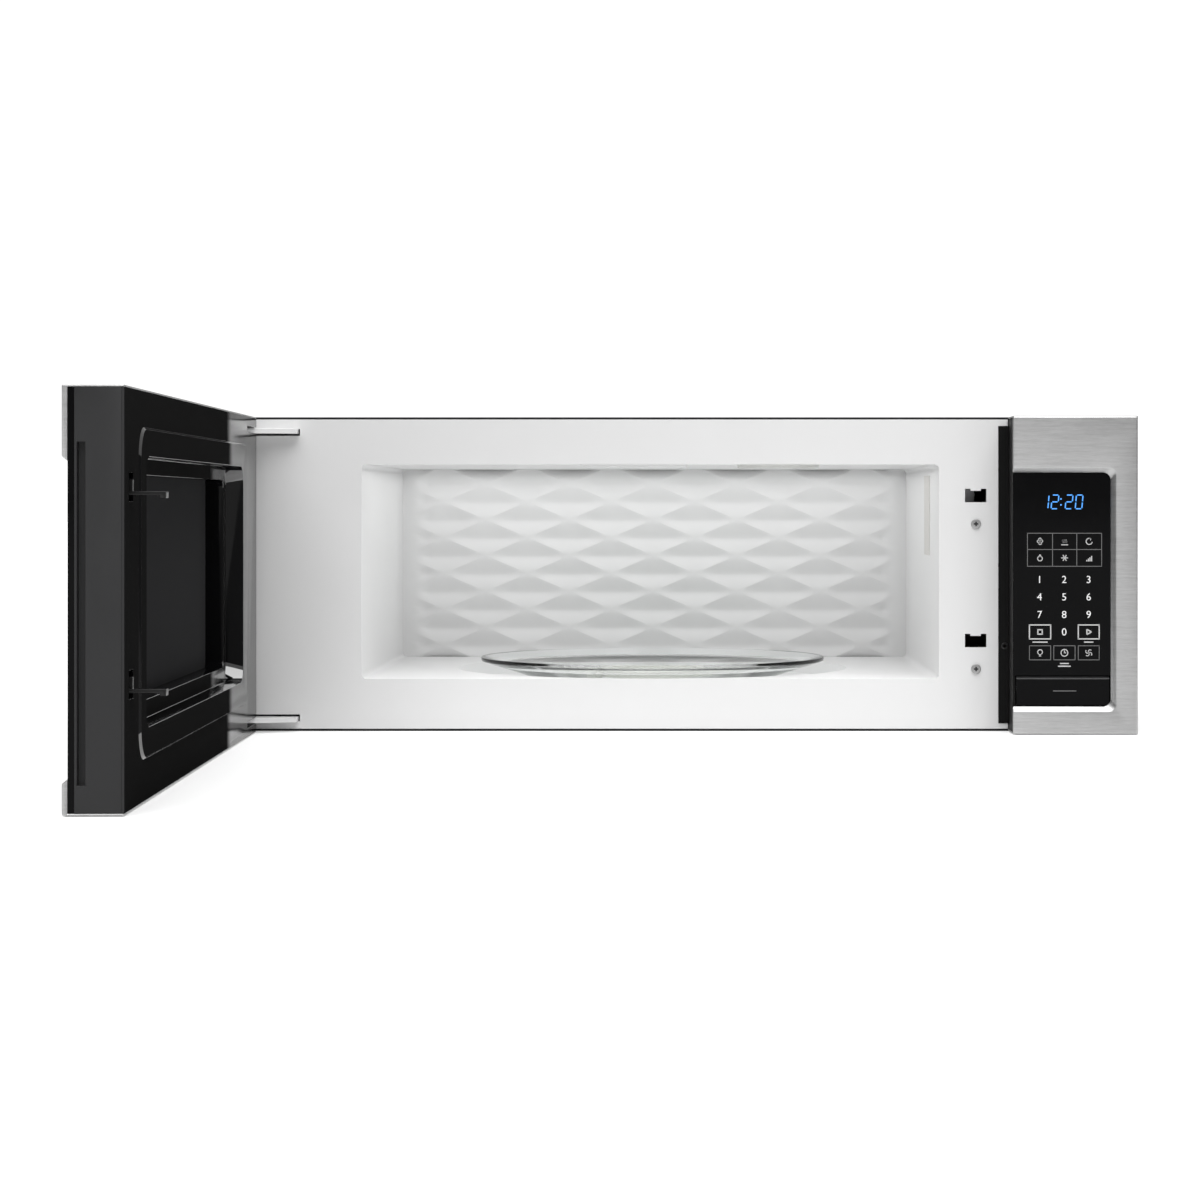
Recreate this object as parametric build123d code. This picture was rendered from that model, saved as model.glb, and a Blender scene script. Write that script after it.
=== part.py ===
from build123d import *
import os

# A low-profile microwave oven that hangs over a range, in millimetres.
# X runs to the right seen from the front, Y runs back to the wall and Z runs up.
# The origin is the centre of the wall side, and the door stands open.

# ------------------------------------------------------------ shared clearances
cut_margin = 2.0            # how far a cut runs past the surface that it opens
move_gap = 0.3              # between pieces that move past each other
fit_gap = 0.05              # radial clearance of a pin or shaft in its bore
slide_gap = 0.5             # between a piece and the opening that it passes through

# ------------------------------------------------------------ cabinet
unit_width = 760.0
unit_height = 260.0
unit_depth = 460.0
cabinet_sheet = 0.8
door_thickness = 39.0
door_gap = 1.0              # shut door to the cavity face
wall_plate_sheet = 1.5
wall_plate_margin = 6.0
stud_spacing = 406.4        # bolt holes one stud bay apart
stud_rise = 120.0
stud_hole_radius = 4.0
stud_head_radius = 12.0     # clearance hole in the rear panel for a bolt head
hang_tab_inset = 110.0      # middle of a hook from the unit's side
hang_tab_width = 24.0
hang_tab_height = 30.0      # above the underside
hang_tab_reach = 5.0
top_bolt_spacing = 560.0
top_bolt_depth = 370.0      # from the wall
top_bolt_radius = 3.5
cord_hole_inset = 60.0      # from the right side
cord_hole_depth = 60.0      # from the wall
cord_hole_radius = 11.0
bushing_lip = 4.0
bushing_wall = 3.0
bushing_length = 9.0

# ------------------------------------------------------------ cavity
cavity_left_margin = 122.2  # cavity wall from the unit's left side
cavity_right_margin = 158.8
cavity_depth = 354.5
cavity_top_margin = 39.0    # ceiling below the top
cavity_floor_height = 43.0  # floor above the underside
cavity_sheet = 0.6
cavity_corner = 4.0
face_margin = 1.0           # dark gap between the white face and the cabinet
face_panel_gap = 7.9        # right edge of the white face to the control panel
face_tab_high = 5.4         # tabs of the face above and below the panel's flange
face_tab_low = 4.4
well_radius = 172.0         # round well in the floor for the roller ring
well_slope = 7.0            # how much the well narrows to its floor
well_depth = 10.7
relief_pitch = 78.5         # width of one lozenge of the back wall
relief_row = 16.95          # rise between rows, half a lozenge's height
relief_depth = 5.0
relief_top_tip = 13.6       # lower tip of the top row below the ceiling
relief_land = (1.6, 0.8)    # flat left beside and above each lozenge, along X and Z
relief_bottom_share = 0.12  # size of a lozenge's flat bottom against its mouth
port_x_depth = 42.0
port_height = 58.0
cover_depth = 50.0          # waveguide cover along the side wall
cover_height = 68.6
cover_sheet = 0.6
cover_start = 131.0         # behind the front of the unit
cover_drop = 8.4            # waveguide cover below the ceiling
baffle_width = 88.0
baffle_shift = -13.7        # baffle's middle from the cavity's middle
baffle_depth = 75.0
baffle_drop = 1.8
lamp_cover_width = 67.0
lamp_cover_shift = 106.6    # lamp cover's middle from the cavity's middle
lamp_cover_depth = 60.0
lamp_cover_drop = 2.6
ceiling_trim_setback = 10.0  # baffle and lamp cover behind the cavity face
lamp_window_margin = 14.0
lamp_pocket_flange = 7.0
lamp_board_height = 9.0

# ------------------------------------------------------------ hinge
hinge_inset = 19.0          # hinge line from the unit's left side
hinge_setback = 19.0        # hinge line behind the front of the door
open_angle = 88.6
hinge_upper_drop = 11.8     # arm's middle below the top
hinge_lower_rise = 10.0     # arm's middle above the underside
arm_start = 15.0            # arm at the cavity face, right of the hinge line
arm_width = 36.0
arm_thickness = 4.0
arm_nose = 12.0             # depth of the arm's square end before the face
eye_radius = 8.0
pin_radius = 3.0
pin_reach = 5.0             # pin beyond each side of the arm
bushing_radius = 5.0
arm_slot_gap = 0.8          # above and below the arm in the door
arm_clear_side = 1.6        # slot in the cavity face, beside the arm
arm_clear_end = 1.2         # and past its end
arm_slot_reach = 54.0       # slot in the door, right of the hinge line
bracket_sheet = 1.5
bracket_leg = 6.4           # from the arm towards the cabinet's edge

# ------------------------------------------------------------ latch
latch_inset = 26.6          # middle of the latch from the control panel
latch_upper_drop = 65.7     # upper hook below the top
latch_lower_rise = 74.0     # lower hook above the underside
slot_width = 17.8
slot_height = 9.5
slot_notch_width = 4.6
slot_notch_rise = 1.7
hook_width = 10.0
hook_thickness = 2.4
hook_reach = 20.5           # beyond the door's inner face
barb_length = 4.0
barb_drop = 1.8
gusset_rise = 8.5
gusset_setback = 0.2        # gusset behind the door's inner plane
latch_bar_width = 18.4
latch_bar_setback = 14.0    # behind the front of the door
latch_bar_depth = 12.0
latch_bar_overrun = 19.0
latch_travel = 3.0          # upwards, against the spring
cover_slot_width = 16.0
cover_slot_below = 5.0
cover_slot_spare = 1.0      # above the gusset with the latch bar pushed up
rail_width = 2.0
spring_radius = 4.0
spring_wire = 0.8
spring_turns = 6
spring_shelf = 3.0
latch_spring_length = 16.0
latch_board_width = 32.0
latch_board_wall = 2.5
latch_board_depth = 32.0
latch_board_overrun = 28.0
latch_shelf_gap = 6.5
switch_size = (10.0, 20.0, 7.0)
switch_pitch = 22.0
switch_setback = 6.0
switch_count = 3
switch_lug = (2.5, 7.0, 2.4)
face_screw_shift = 0.2      # right of the latch's middle
face_screw_drops = (22.4, 22.7)     # below the upper and the lower hook
face_screw_radius = 4.1
face_screw_head = 1.6
screw_shank_radius = 1.8
screw_length = 4.0
screw_recess_width = 0.9
flange_screw_inset = 2.7    # left of the control panel
flange_screw_rise = 70.5    # above the underside
flange_screw_radius = 2.8
flange_screw_head = 0.8

# ------------------------------------------------------------ door
door_panel_gap = 2.1        # shut door to the control panel
door_edge = 0.5             # door's top and bottom inside the unit's
rim_setback = 1.5           # rim of the inner cover below its raised field
door_wall = 3.0
frame_front_sheet = 2.5
trim_front = 3.5
trim_sheet = 1.2
trim_top_band = 46.0
trim_bottom_band = 22.0
trim_side_bar = 23.0
trim_bevel = 3.0
trim_corner = 6.0
door_glass_thickness = 4.0
groove_width = 5.0
groove_setback = 1.6        # behind the frame's front
groove_depth = 6.0
groove_low = 18.4           # above the underside
groove_high = 34.8          # below the top
cover_sheet_thickness = 1.5
field_margins_x = (74.5, 52.5)      # raised field from the door's hinge and free ends
field_margins_z = (28.0, 24.3)      # above the underside and below the top
field_corner = 20.0
field_bevel = 1.2
window_margins_x = (110.0, 73.7)
window_margins_z = (47.6, 42.5)
window_corner = 12.0
window_depth = 28.0
step_depth = 14.0
step_inset = 8.5
step_inset_hinge = 12.7     # at the hinge side of the window
window_wall = 1.5
pane_overlap = 4.0
pane_thickness = 1.5
screen_sheet = 0.5
choke_width = 14.0
choke_sheet = 1.0
hinge_block_reach = 23.0    # right of the hinge line
hinge_block_height = 22.0

# ------------------------------------------------------------ control panel
panel_width = 101.9
bezel_sheet = 1.5
bezel_front = 4.0
bezel_round = 2.0
panel_window_inset = 22.4   # window from the unit's right side
panel_window_low = 23.1     # above the underside
panel_window_high = 46.6    # below the top
panel_bevel = 4.5
panel_corner = 6.0
touch_glass_thickness = 3.0
touch_glass_overlap = 8.0
button_height = 24.5
button_gap = 0.5
button_thickness = 3.0
button_travel = 4.0
button_skirt_cover = 4.0    # skirt still ahead of the glass's back with the button pushed
stem_inset = 21.9           # middle of the stem from the panel's left edge
stem_width = 8.0
stem_tip_height = 4.0
housing_wall = 2.0
board_sheet = 1.6
board_margin = 6.0
board_standoff = 9.0
board_post_radius = 3.0
relay_size = (18.0, 10.0, 16.0)
relay_pitch = 26.0
relay_count = 3
display_inset = 17.9        # from the panel's left edge
display_width = 50.0
display_drop = 58.0         # below the top
display_height = 26.0

# ------------------------------------------------------------ release lever
lever_setback = 9.0         # lever's shaft behind the cavity face
lever_below_hook = 20.0     # lever's shaft below the lower hook
lever_radius = 3.0
lever_hub_radius = 4.5
lever_overhang = 3.0
paddle_width = 7.0
paddle_thickness = 4.0
paddle_reach = 15.0
finger_width = 7.0
finger_thickness = 4.0
finger_gap = 0.4            # finger below the hook's barb

# ------------------------------------------------------------ turntable
plate_diameter = 304.8
plate_height = 8.8
plate_glass = 3.6
plate_flat_radius = 136.0
plate_lip = 3.0
plate_lift = 1.3            # underside above the cavity floor
coupler_radius = 13.0
coupler_lobe = 5.0
coupler_lobes = 3
coupler_shaft_radius = 3.0
coupler_shaft_length = 14.0
socket_wall = 3.0
socket_drop = 4.0
ring_inner_radius = 84.0
ring_width = 8.0
ring_height = 6.0
axle_radius = 2.0
axle_cap = 1.5
roller_width = 8.0
roller_offset = 1.3         # between the ring and a roller
rollers = 3
motor_radius = 25.0
motor_height = 18.0
shaft_hole_radius = 8.0

# ------------------------------------------------------------ electronics bay
waveguide_width = 36.0
waveguide_start = 75.0      # behind the cavity face
waveguide_length = 155.0
waveguide_drop = 3.0        # below the ceiling
waveguide_height = 83.0
waveguide_sheet = 1.2
antenna_radius = 10.0
antenna_hole_gap = 4.0
antenna_length = 18.0
magnetron_setback = 192.0   # its axis behind the cavity face
magnetron_drop = 45.0       # its axis below the ceiling
magnetron_size = (70.0, 90.0, 80.0)
magnetron_frame = 1.5
anode_radius = 20.0
fin_count = 6
fin_thickness = 0.8
fin_margin = 6.0
transformer_inset = 25.8    # from the cavity's outer wall
transformer_width = 86.0
transformer_setback = 130.0 # behind the cavity face
transformer_depth = 90.0
transformer_height = 72.0
coil_height = 44.0
coil_overhang = 14.0
coil_margin = 12.0
capacitor_inset = 35.0      # from the unit's right side
capacitor_width = 55.0
capacitor_setback = 25.0    # behind the cavity face
capacitor_depth = 85.0
capacitor_height = 38.0
capacitor_flat = 2.0        # flat left at each end of the oval can
terminal_radius = 3.0
terminal_height = 8.0
terminal_spacing = 26.0
diode_radius = 4.0
diode_length = 24.0
diode_gap = 8.0
partition_setback = 140.0   # from the wall
partition_drop = 111.0      # its lower edge below the ceiling
partition_sheet = 1.2
fan_inset = 80.0            # its axis from the unit's right side
fan_radius = 44.0
fan_hub_radius = 13.0
fan_depth = 18.0
fan_blades = 7
fan_blade_sheet = 2.0
fan_blade_pitch = 35.0
fan_setback = 4.0
fan_shaft_radius = 2.5
fan_motor_size = 46.0
fan_motor_depth = 28.0
fan_motor_gap = 4.0
fan_post_radius = 3.0
fan_post_offset = 52.0
filter_board_inset = 35.0   # from the unit's right side
filter_board_width = 100.0
filter_board_drop = 12.0    # below the top
filter_board_height = 58.0
filter_choke_radius = 12.0
filter_choke_height = 16.0
filter_choke_inset = 18.0

# ------------------------------------------------------------ ventilation
blower_inset = 61.2         # its axis from the unit's left side
blower_z = 0.0
blower_motor_radius = 38.0
blower_motor_setback = 158.0    # behind the cavity face
blower_motor_length = 40.0
blower_shaft_radius = 4.0
wheel_radius = 44.0
wheel_inner_radius = 36.0
wheel_length = 45.0
wheel_gap = 5.0
wheel_disc = 2.0
wheel_hub_wall = 4.0
wheel_hub_length = 6.0
wheel_blades = 20
wheel_blade_sheet = 1.2
scroll_radius = 54.0
scroll_wall = 1.2
scroll_overhang = 6.0
scroll_outlet_drop = 36.8   # outlet below the top sheet
scroll_leg_width = 40.0
scroll_leg_depth = 3.0
exhaust_width = 254.0
exhaust_depth = 82.6
exhaust_setback = 14.4      # exhaust opening from the wall
collar_wall = 4.0
collar_drop = 12.0
flap_thickness = 1.5
flap_gap = 1.5
flap_barrel_radius = 2.4
flap_pin_radius = 1.5
flap_pin_reach = 3.0
flap_ledge = 4.0
filter_depth = 130.0
filter_height = 8.0
filter_rim = 9.0
filter_lip = 5.0
filter_mesh = 3.0
filter_setback = 85.0       # behind the cavity face
filter_width = 150.0
filter_left_inset = 7.8     # from the cavity's left wall
filter_right_inset = 9.2    # from the cavity's right wall
light_insets = (17.8, 17.2) # lights' middles from the cavity's side walls
light_setback = 35.0        # behind the cavity face
light_size = (64.0, 38.0)
light_flange = 4.0
light_lens_sheet = 2.0
light_board_lift = 10.0

# ------------------------------------------------------------ worked-out places
side_x = unit_width / 2
top_z = unit_height / 2
base_z = -top_z
front_y = -unit_depth
door_back_y = front_y + door_thickness
face_y = door_back_y + door_gap
face_back_y = face_y + cavity_sheet
panel_back_y = -wall_plate_sheet - cabinet_sheet
inner_side_x = side_x - cabinet_sheet
inner_top_z = top_z - cabinet_sheet
inner_base_z = base_z + cabinet_sheet
cavity_x = (-side_x + cavity_left_margin, side_x - cavity_right_margin)
cavity_middle = sum(cavity_x) / 2
cavity_width = cavity_x[1] - cavity_x[0]
cavity_floor = base_z + cavity_floor_height
cavity_ceiling = top_z - cavity_top_margin
cavity_z = (cavity_floor, cavity_ceiling)
panel_left = side_x - panel_width
panel_window_right = side_x - panel_window_inset
panel_window_z = (base_z + panel_window_low, top_z - panel_window_high)
button_top_z = panel_window_z[0] + button_height
face_right = panel_left - face_panel_gap
door_left = -side_x
door_right = panel_left - door_panel_gap
hinge_x = -side_x + hinge_inset
arm_x = (hinge_x + arm_start, hinge_x + arm_start + arm_width)
latch_x = panel_left - latch_inset
latch_upper_z = top_z - latch_upper_drop
latch_lower_z = base_z + latch_lower_rise
cavity_back_y = face_y + cavity_depth
bay_left = cavity_x[1] + cavity_sheet
table_x = cavity_middle
table_y = face_y + cavity_depth / 2
well_floor = cavity_floor - well_depth
plate_base = cavity_floor + plate_lift
trim_start = face_y + ceiling_trim_setback
latch_heights = (latch_upper_z, latch_lower_z)
hinge_y = front_y + hinge_setback
hinge_heights = (top_z - hinge_upper_drop, base_z + hinge_lower_rise)
face_screw_x = latch_x + face_screw_shift
face_screw_heights = [hook - drop for hook, drop in zip(latch_heights, face_screw_drops)]
flange_screw_x = panel_left - flange_screw_inset
flange_screw_z = base_z + flange_screw_rise
door_x = (door_left, door_right)
door_z = (base_z + door_edge, top_z - door_edge)
field_x = (door_left + field_margins_x[0], door_right - field_margins_x[1])
field_z = (base_z + field_margins_z[0], top_z - field_margins_z[1])
window_x = (door_left + window_margins_x[0], door_right - window_margins_x[1])
window_z = (base_z + window_margins_z[0], top_z - window_margins_z[1])
groove_z = (base_z + groove_low, top_z - groove_high)
rim_y = door_back_y - rim_setback
cover_back_y = rim_y - cover_sheet_thickness
window_floor_y = door_back_y - window_depth
glass_front_y = front_y + bezel_front
board_y = door_back_y - board_standoff - board_sheet
lever_y = face_y + lever_setback
lever_z = latch_lower_z - lever_below_hook
stem_x = panel_left + stem_inset
stem_z = lever_z - (paddle_reach - stem_tip_height / 2)
cord_hole_x = side_x - cord_hole_inset
cover_low = cavity_ceiling - cover_drop - cover_height
magnetron_y = face_y + magnetron_setback
magnetron_z = cavity_ceiling - magnetron_drop
partition_y = -partition_setback
fan_x = side_x - fan_inset
fan_z = magnetron_z
blower_x = -side_x + blower_inset
blower_motor_y = (face_y + blower_motor_setback, face_y + blower_motor_setback + blower_motor_length)
scroll_outlet_rise = inner_top_z - scroll_outlet_drop - blower_z
light_centers = (cavity_x[0] + light_insets[0], cavity_x[1] - light_insets[1])
light_y = face_y + light_setback


# ------------------------------------------------------------ shape helpers
def block(x, y, z):
    """A box, from its (low, high) pair along each axis."""
    size = Box(x[1] - x[0], y[1] - y[0], z[1] - z[0])
    return Pos(sum(x) / 2, sum(y) / 2, sum(z) / 2) * size


def grow(span, amount):
    """A (low, high) pair moved outwards at both ends."""
    return (span[0] - amount, span[1] + amount)


def around(middle, width):
    """The (low, high) pair of a width about its middle."""
    return (middle - width / 2, middle + width / 2)


def between(first, second):
    """The (low, high) pair between two places in either order."""
    return (min(first, second), max(first, second))


def rod(start, direction, radius, length):
    """A cylinder from its start point along a direction."""
    round_bar = Cylinder(radius, length, align=(Align.CENTER, Align.CENTER, Align.MIN))
    return Plane(origin=start, z_dir=direction) * round_bar


def ring(start, direction, outer, inner, length):
    """A tube from its start point along a direction."""
    tube = Cylinder(outer, length) - Cylinder(inner, length + 2 * cut_margin)
    return Plane(origin=start, z_dir=direction) * Pos(0, 0, length / 2) * tube


def rounded(x, y, z, corner):
    """A plate facing the front, with its four corners rounded."""
    outline = RectangleRounded(x[1] - x[0], z[1] - z[0], corner)
    plane = Plane(origin=(sum(x) / 2, y[0], sum(z) / 2), x_dir=(1, 0, 0), z_dir=(0, 1, 0))
    return extrude(plane * outline, y[1] - y[0])


def tapered(x, z, y, corner, inset):
    """A plate facing the front that narrows by an inset at its back."""
    widths = ((y[0], 0), (y[1], inset))
    outlines = []
    for depth, step in widths:
        plane = Plane(origin=(sum(x) / 2, depth, sum(z) / 2), x_dir=(1, 0, 0), z_dir=(0, 1, 0))
        outline = RectangleRounded(x[1] - x[0] - 2 * step, z[1] - z[0] - 2 * step, corner)
        outlines.append(plane * outline)
    return loft(outlines, ruled=True)


def rising(points, x):
    """A bar along X with its side outline given as (y, z) points."""
    plane = Plane(origin=(x[0], 0, 0), x_dir=(0, 1, 0), z_dir=(1, 0, 0))
    return extrude(plane * make_face(Polyline(*points, close=True)), x[1] - x[0])


def flat(points, z):
    """A plate lying level with its plan given as (x, y) points."""
    plate = extrude(make_face(Polyline(*points, close=True)), z[1] - z[0])
    return Pos(0, 0, z[0]) * plate


lamp_cover_x = around(cavity_middle + lamp_cover_shift, lamp_cover_width)
lamp_cover_y = (trim_start, trim_start + lamp_cover_depth)
lamp_window_x = grow(lamp_cover_x, -lamp_window_margin)
lamp_window_y = grow(lamp_cover_y, -lamp_window_margin)
along_x = (1, 0, 0)
along_y = (0, 1, 0)
along_z = (0, 0, 1)
back_cut = (face_y - cut_margin, face_back_y + cut_margin)
exhaust_x = around(0, exhaust_width)
exhaust_y = (-exhaust_setback - exhaust_depth, -exhaust_setback)


# ------------------------------------------------------------ cabinet pieces
def outer_wrap():
    """Painted sheet over the top and both sides."""
    depth = (face_y, -wall_plate_sheet)
    wrap = block((-side_x, side_x), depth, (base_z, top_z))
    inside_z = (base_z - cut_margin, inner_top_z)
    wrap -= block((-inner_side_x, inner_side_x), grow(depth, cut_margin), inside_z)
    top_cut = grow((inner_top_z, top_z), cut_margin)
    wrap -= block(exhaust_x, exhaust_y, top_cut)
    for x in around(0, top_bolt_spacing):
        wrap -= rod((x, -top_bolt_depth, top_cut[0]), along_z, top_bolt_radius, top_cut[1] - top_cut[0])
    cord_start = (cord_hole_x, -cord_hole_depth, top_cut[0])
    return wrap - rod(cord_start, along_z, cord_hole_radius, top_cut[1] - top_cut[0])


def filter_spans():
    """The (x, y) spans of the two grease filters."""
    depth = (face_y + filter_setback, face_y + filter_setback + filter_depth)
    left = cavity_x[0] + filter_left_inset
    right = cavity_x[1] - filter_right_inset
    return [((left, left + filter_width), depth), ((right - filter_width, right), depth)]


def base_pan():
    """Painted underside with the filter and light openings."""
    height = (base_z, inner_base_z)
    pan = block((-inner_side_x, inner_side_x), (face_y, panel_back_y), height)
    for x, y in filter_spans():
        pan -= block(grow(x, -filter_lip), grow(y, -filter_lip), grow(height, cut_margin))
    for center in light_centers:
        pan -= block(around(center, light_size[0]), around(light_y, light_size[1]), grow(height, cut_margin))
    return pan


def stud_points():
    """Places of the four wall bolts."""
    return [(x, z) for x in around(0, stud_spacing) for z in around(0, stud_rise)]


def hang_tab(x, grown):
    """One hook of the wall plate, or its slot when grown."""
    low = base_z + hang_tab_height
    width = grow(around(x, hang_tab_width), grown)
    reach = (-wall_plate_sheet - cabinet_sheet - hang_tab_reach, -wall_plate_sheet)
    shelf = block(width, reach, grow((low, low + wall_plate_sheet), grown))
    lip_depth = (reach[0], reach[0] + wall_plate_sheet)
    return shelf + block(width, lip_depth, (low, low + hang_tab_reach))


def rear_panel():
    """Painted sheet across the back, slotted to hang on the wall plate."""
    depth = (panel_back_y, -wall_plate_sheet)
    panel = block((-inner_side_x, inner_side_x), depth, (base_z, inner_top_z))
    for x, z in stud_points():
        start = (x, depth[0] - cut_margin, z)
        panel -= rod(start, along_y, stud_head_radius, cabinet_sheet + 2 * cut_margin)
    low = base_z + hang_tab_height
    for x in (-side_x + hang_tab_inset, side_x - hang_tab_inset):
        width = grow(around(x, hang_tab_width), slide_gap)
        panel -= block(width, grow(depth, cut_margin), grow((low, low + hang_tab_reach), slide_gap))
    return panel


def wall_plate():
    """Steel plate that bolts to the wall and carries the unit on two hooks."""
    width = grow((-side_x, side_x), -wall_plate_margin)
    height = grow((base_z, top_z), -wall_plate_margin)
    plate = block(width, (-wall_plate_sheet, 0), height)
    for x, z in stud_points():
        start = (x, -wall_plate_sheet - cut_margin, z)
        plate -= rod(start, along_y, stud_hole_radius, wall_plate_sheet + 2 * cut_margin)
    for x in (-side_x + hang_tab_inset, side_x - hang_tab_inset):
        plate += hang_tab(x, 0)
    return plate


def cord_bushing():
    """Moulded ring where the mains lead leaves through the top."""
    start = (cord_hole_x, -cord_hole_depth, inner_top_z - bushing_length)
    bore = cord_hole_radius - bushing_wall
    neck = ring(start, along_z, cord_hole_radius, bore, bushing_length + cabinet_sheet)
    lip_start = (cord_hole_x, -cord_hole_depth, inner_top_z - bushing_wall)
    return neck + ring(lip_start, along_z, cord_hole_radius + bushing_lip, bore, bushing_wall)


# ------------------------------------------------------------ cavity pieces
def arm_outline():
    """Plan of a hinge arm, from its eye back to the cavity face."""
    return [
        (arm_x[1], face_back_y),
        (arm_x[1], face_y - arm_nose),
        (hinge_x, hinge_y - eye_radius),
        (hinge_x - eye_radius, hinge_y),
        (arm_x[0], face_y),
        (arm_x[0], face_back_y),
    ]


def latch_slot(y, z):
    """Slot for a latch hook, with a notch at each of its upper corners."""
    slot = block(around(latch_x, slot_width), y, around(z, slot_height))
    for x in around(latch_x, slot_width - slot_notch_width):
        slot += block(around(x, slot_notch_width), y, (z, z + slot_height / 2 + slot_notch_rise))
    return slot


def cavity_face():
    """White front frame round the cavity, with the latch and hinge slots."""
    height = (inner_base_z + face_margin, inner_top_z - face_margin)
    plate = block((face_margin - inner_side_x, face_right), (face_y, face_back_y), height)
    plate -= rounded(cavity_x, back_cut, cavity_z, cavity_corner)
    for z in latch_heights:
        plate -= latch_slot(back_cut, z)
    for z, inward in zip(hinge_heights, (-1, 1)):
        slot_z = between(z - inward * arm_thickness / 2, z + inward * (arm_thickness / 2 + arm_clear_side))
        plate -= block((arm_x[0], arm_x[1] + arm_clear_end), back_cut, slot_z)
    for z in face_screw_heights:
        screw_start = (face_screw_x, back_cut[0], z)
        plate -= rod(screw_start, along_y, screw_shank_radius, back_cut[1] - back_cut[0])
    tab_x = (face_right, housing_x[0] - slide_gap)
    plate += block(tab_x, (face_y, face_back_y), (height[0], height[0] + face_tab_low))
    plate += block(tab_x, (face_y, face_back_y), (height[1] - face_tab_high, height[1]))
    return plate


def cavity_shell():
    """Enamelled floor, ceiling and side walls in one tub, with the roller well."""
    depth = (face_back_y, cavity_back_y)
    outside = block(grow(cavity_x, cavity_sheet), depth, grow(cavity_z, cavity_sheet))
    drop = well_depth + cavity_sheet
    well_skin = Pos(table_x, table_y, cavity_floor - drop / 2) * Cone(
        well_radius - well_slope + cavity_sheet, well_radius + cavity_sheet, drop)
    tub = outside + well_skin
    tub -= rounded(cavity_x, grow(depth, cut_margin), cavity_z, cavity_corner)
    hollow = Pos(table_x, table_y, cavity_floor - well_depth / 2) * Cone(
        well_radius - well_slope, well_radius, well_depth)
    tub -= hollow
    shaft_start = (table_x, table_y, well_floor - cavity_sheet - cut_margin)
    tub -= rod(shaft_start, along_z, shaft_hole_radius, cavity_sheet + 2 * cut_margin)
    wall_cut = grow((cavity_x[1], bay_left), cut_margin)
    port_y = around(front_y + cover_start + cover_depth / 2, port_x_depth)
    port_z = around(cover_low + cover_height / 2, port_height)
    tub -= block(wall_cut, port_y, port_z)
    ceiling_cut = grow((cavity_ceiling, cavity_ceiling + cavity_sheet), cut_margin)
    return tub - block(lamp_window_x, lamp_window_y, ceiling_cut)


def lozenge(depth, size):
    """One lozenge of the back wall: a tapered hollow as a solid, mouth at Y = 0."""
    outlines = []
    for y, share in ((0, 1), (depth, relief_bottom_share)):
        half_x = size[0] * share
        half_z = size[1] * share
        points = [(half_x, 0), (0, half_z), (-half_x, 0), (0, -half_z)]
        plane = Plane(origin=(0, y, 0), x_dir=(1, 0, 0), z_dir=(0, 1, 0))
        outlines.append(plane * make_face(Polyline(*points, close=True)))
    return loft(outlines, ruled=True)


def lozenge_places():
    """Middles of all lozenges, with alternate rows shifted by half a pitch."""
    places = []
    rows = int((cavity_ceiling - cavity_floor) / relief_row) + 1
    columns = int(cavity_width / 2 / relief_pitch) + 1
    for row in range(rows):
        z = cavity_ceiling - relief_top_tip + relief_row - row * relief_row
        shift = relief_pitch / 2 * (row % 2)
        for column in range(-columns, columns + 1):
            places.append((cavity_middle + column * relief_pitch + shift, z))
    return places


def cavity_back():
    """Enamelled back wall pressed into rows of lozenges."""
    outer_x = grow(cavity_x, cavity_sheet)
    outer_z = grow(cavity_z, cavity_sheet)
    depth = (cavity_back_y, cavity_back_y + cavity_sheet)
    mouth = (relief_pitch / 2 - relief_land[0], relief_row - relief_land[1])
    hollow = lozenge(relief_depth, mouth)
    bulge = lozenge(relief_depth, mouth)
    hollows = [Pos(x, cavity_back_y, z) * hollow for x, z in lozenge_places()]
    bulges = [Pos(x, depth[1], z) * bulge for x, z in lozenge_places()]
    bounds = block(outer_x, (depth[0], depth[1] + relief_depth), outer_z)
    wall = block(outer_x, depth, outer_z)
    wall = (wall + bulges) & bounds
    keep = block(cavity_x, (depth[0], depth[1] + relief_depth), cavity_z)
    dents = [(dent & keep) for dent in hollows]
    return wall - [dent for dent in dents if dent.volume > 0]


def waveguide_cover():
    """Thin sheet over the microwave port in the right wall."""
    y = (front_y + cover_start, front_y + cover_start + cover_depth)
    return block((cavity_x[1] - cover_sheet, cavity_x[1]), y, (cover_low, cover_low + cover_height))


def ceiling_baffle():
    """Pressed plate under the front of the cavity ceiling."""
    y = (trim_start, trim_start + baffle_depth)
    x = around(cavity_middle + baffle_shift, baffle_width)
    return block(x, y, (cavity_ceiling - baffle_drop, cavity_ceiling))


def cavity_lamp_cover():
    """Clear cover below the cavity lamp."""
    cover = block(lamp_cover_x, lamp_cover_y, (cavity_ceiling - lamp_cover_drop, cavity_ceiling))
    return fillet(cover.faces().sort_by(Axis.Z)[0].edges(), lamp_cover_drop / 2)


def cavity_lamp():
    """Lamp board in its pocket above the cavity ceiling."""
    low = cavity_ceiling + cavity_sheet
    top = low + lamp_board_height
    outside_y = grow(lamp_window_y, lamp_pocket_flange)
    pocket = block(grow(lamp_window_x, lamp_pocket_flange), outside_y, (low, top))
    return pocket - block(lamp_window_x, lamp_window_y, (low - cut_margin, top - board_sheet))


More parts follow.
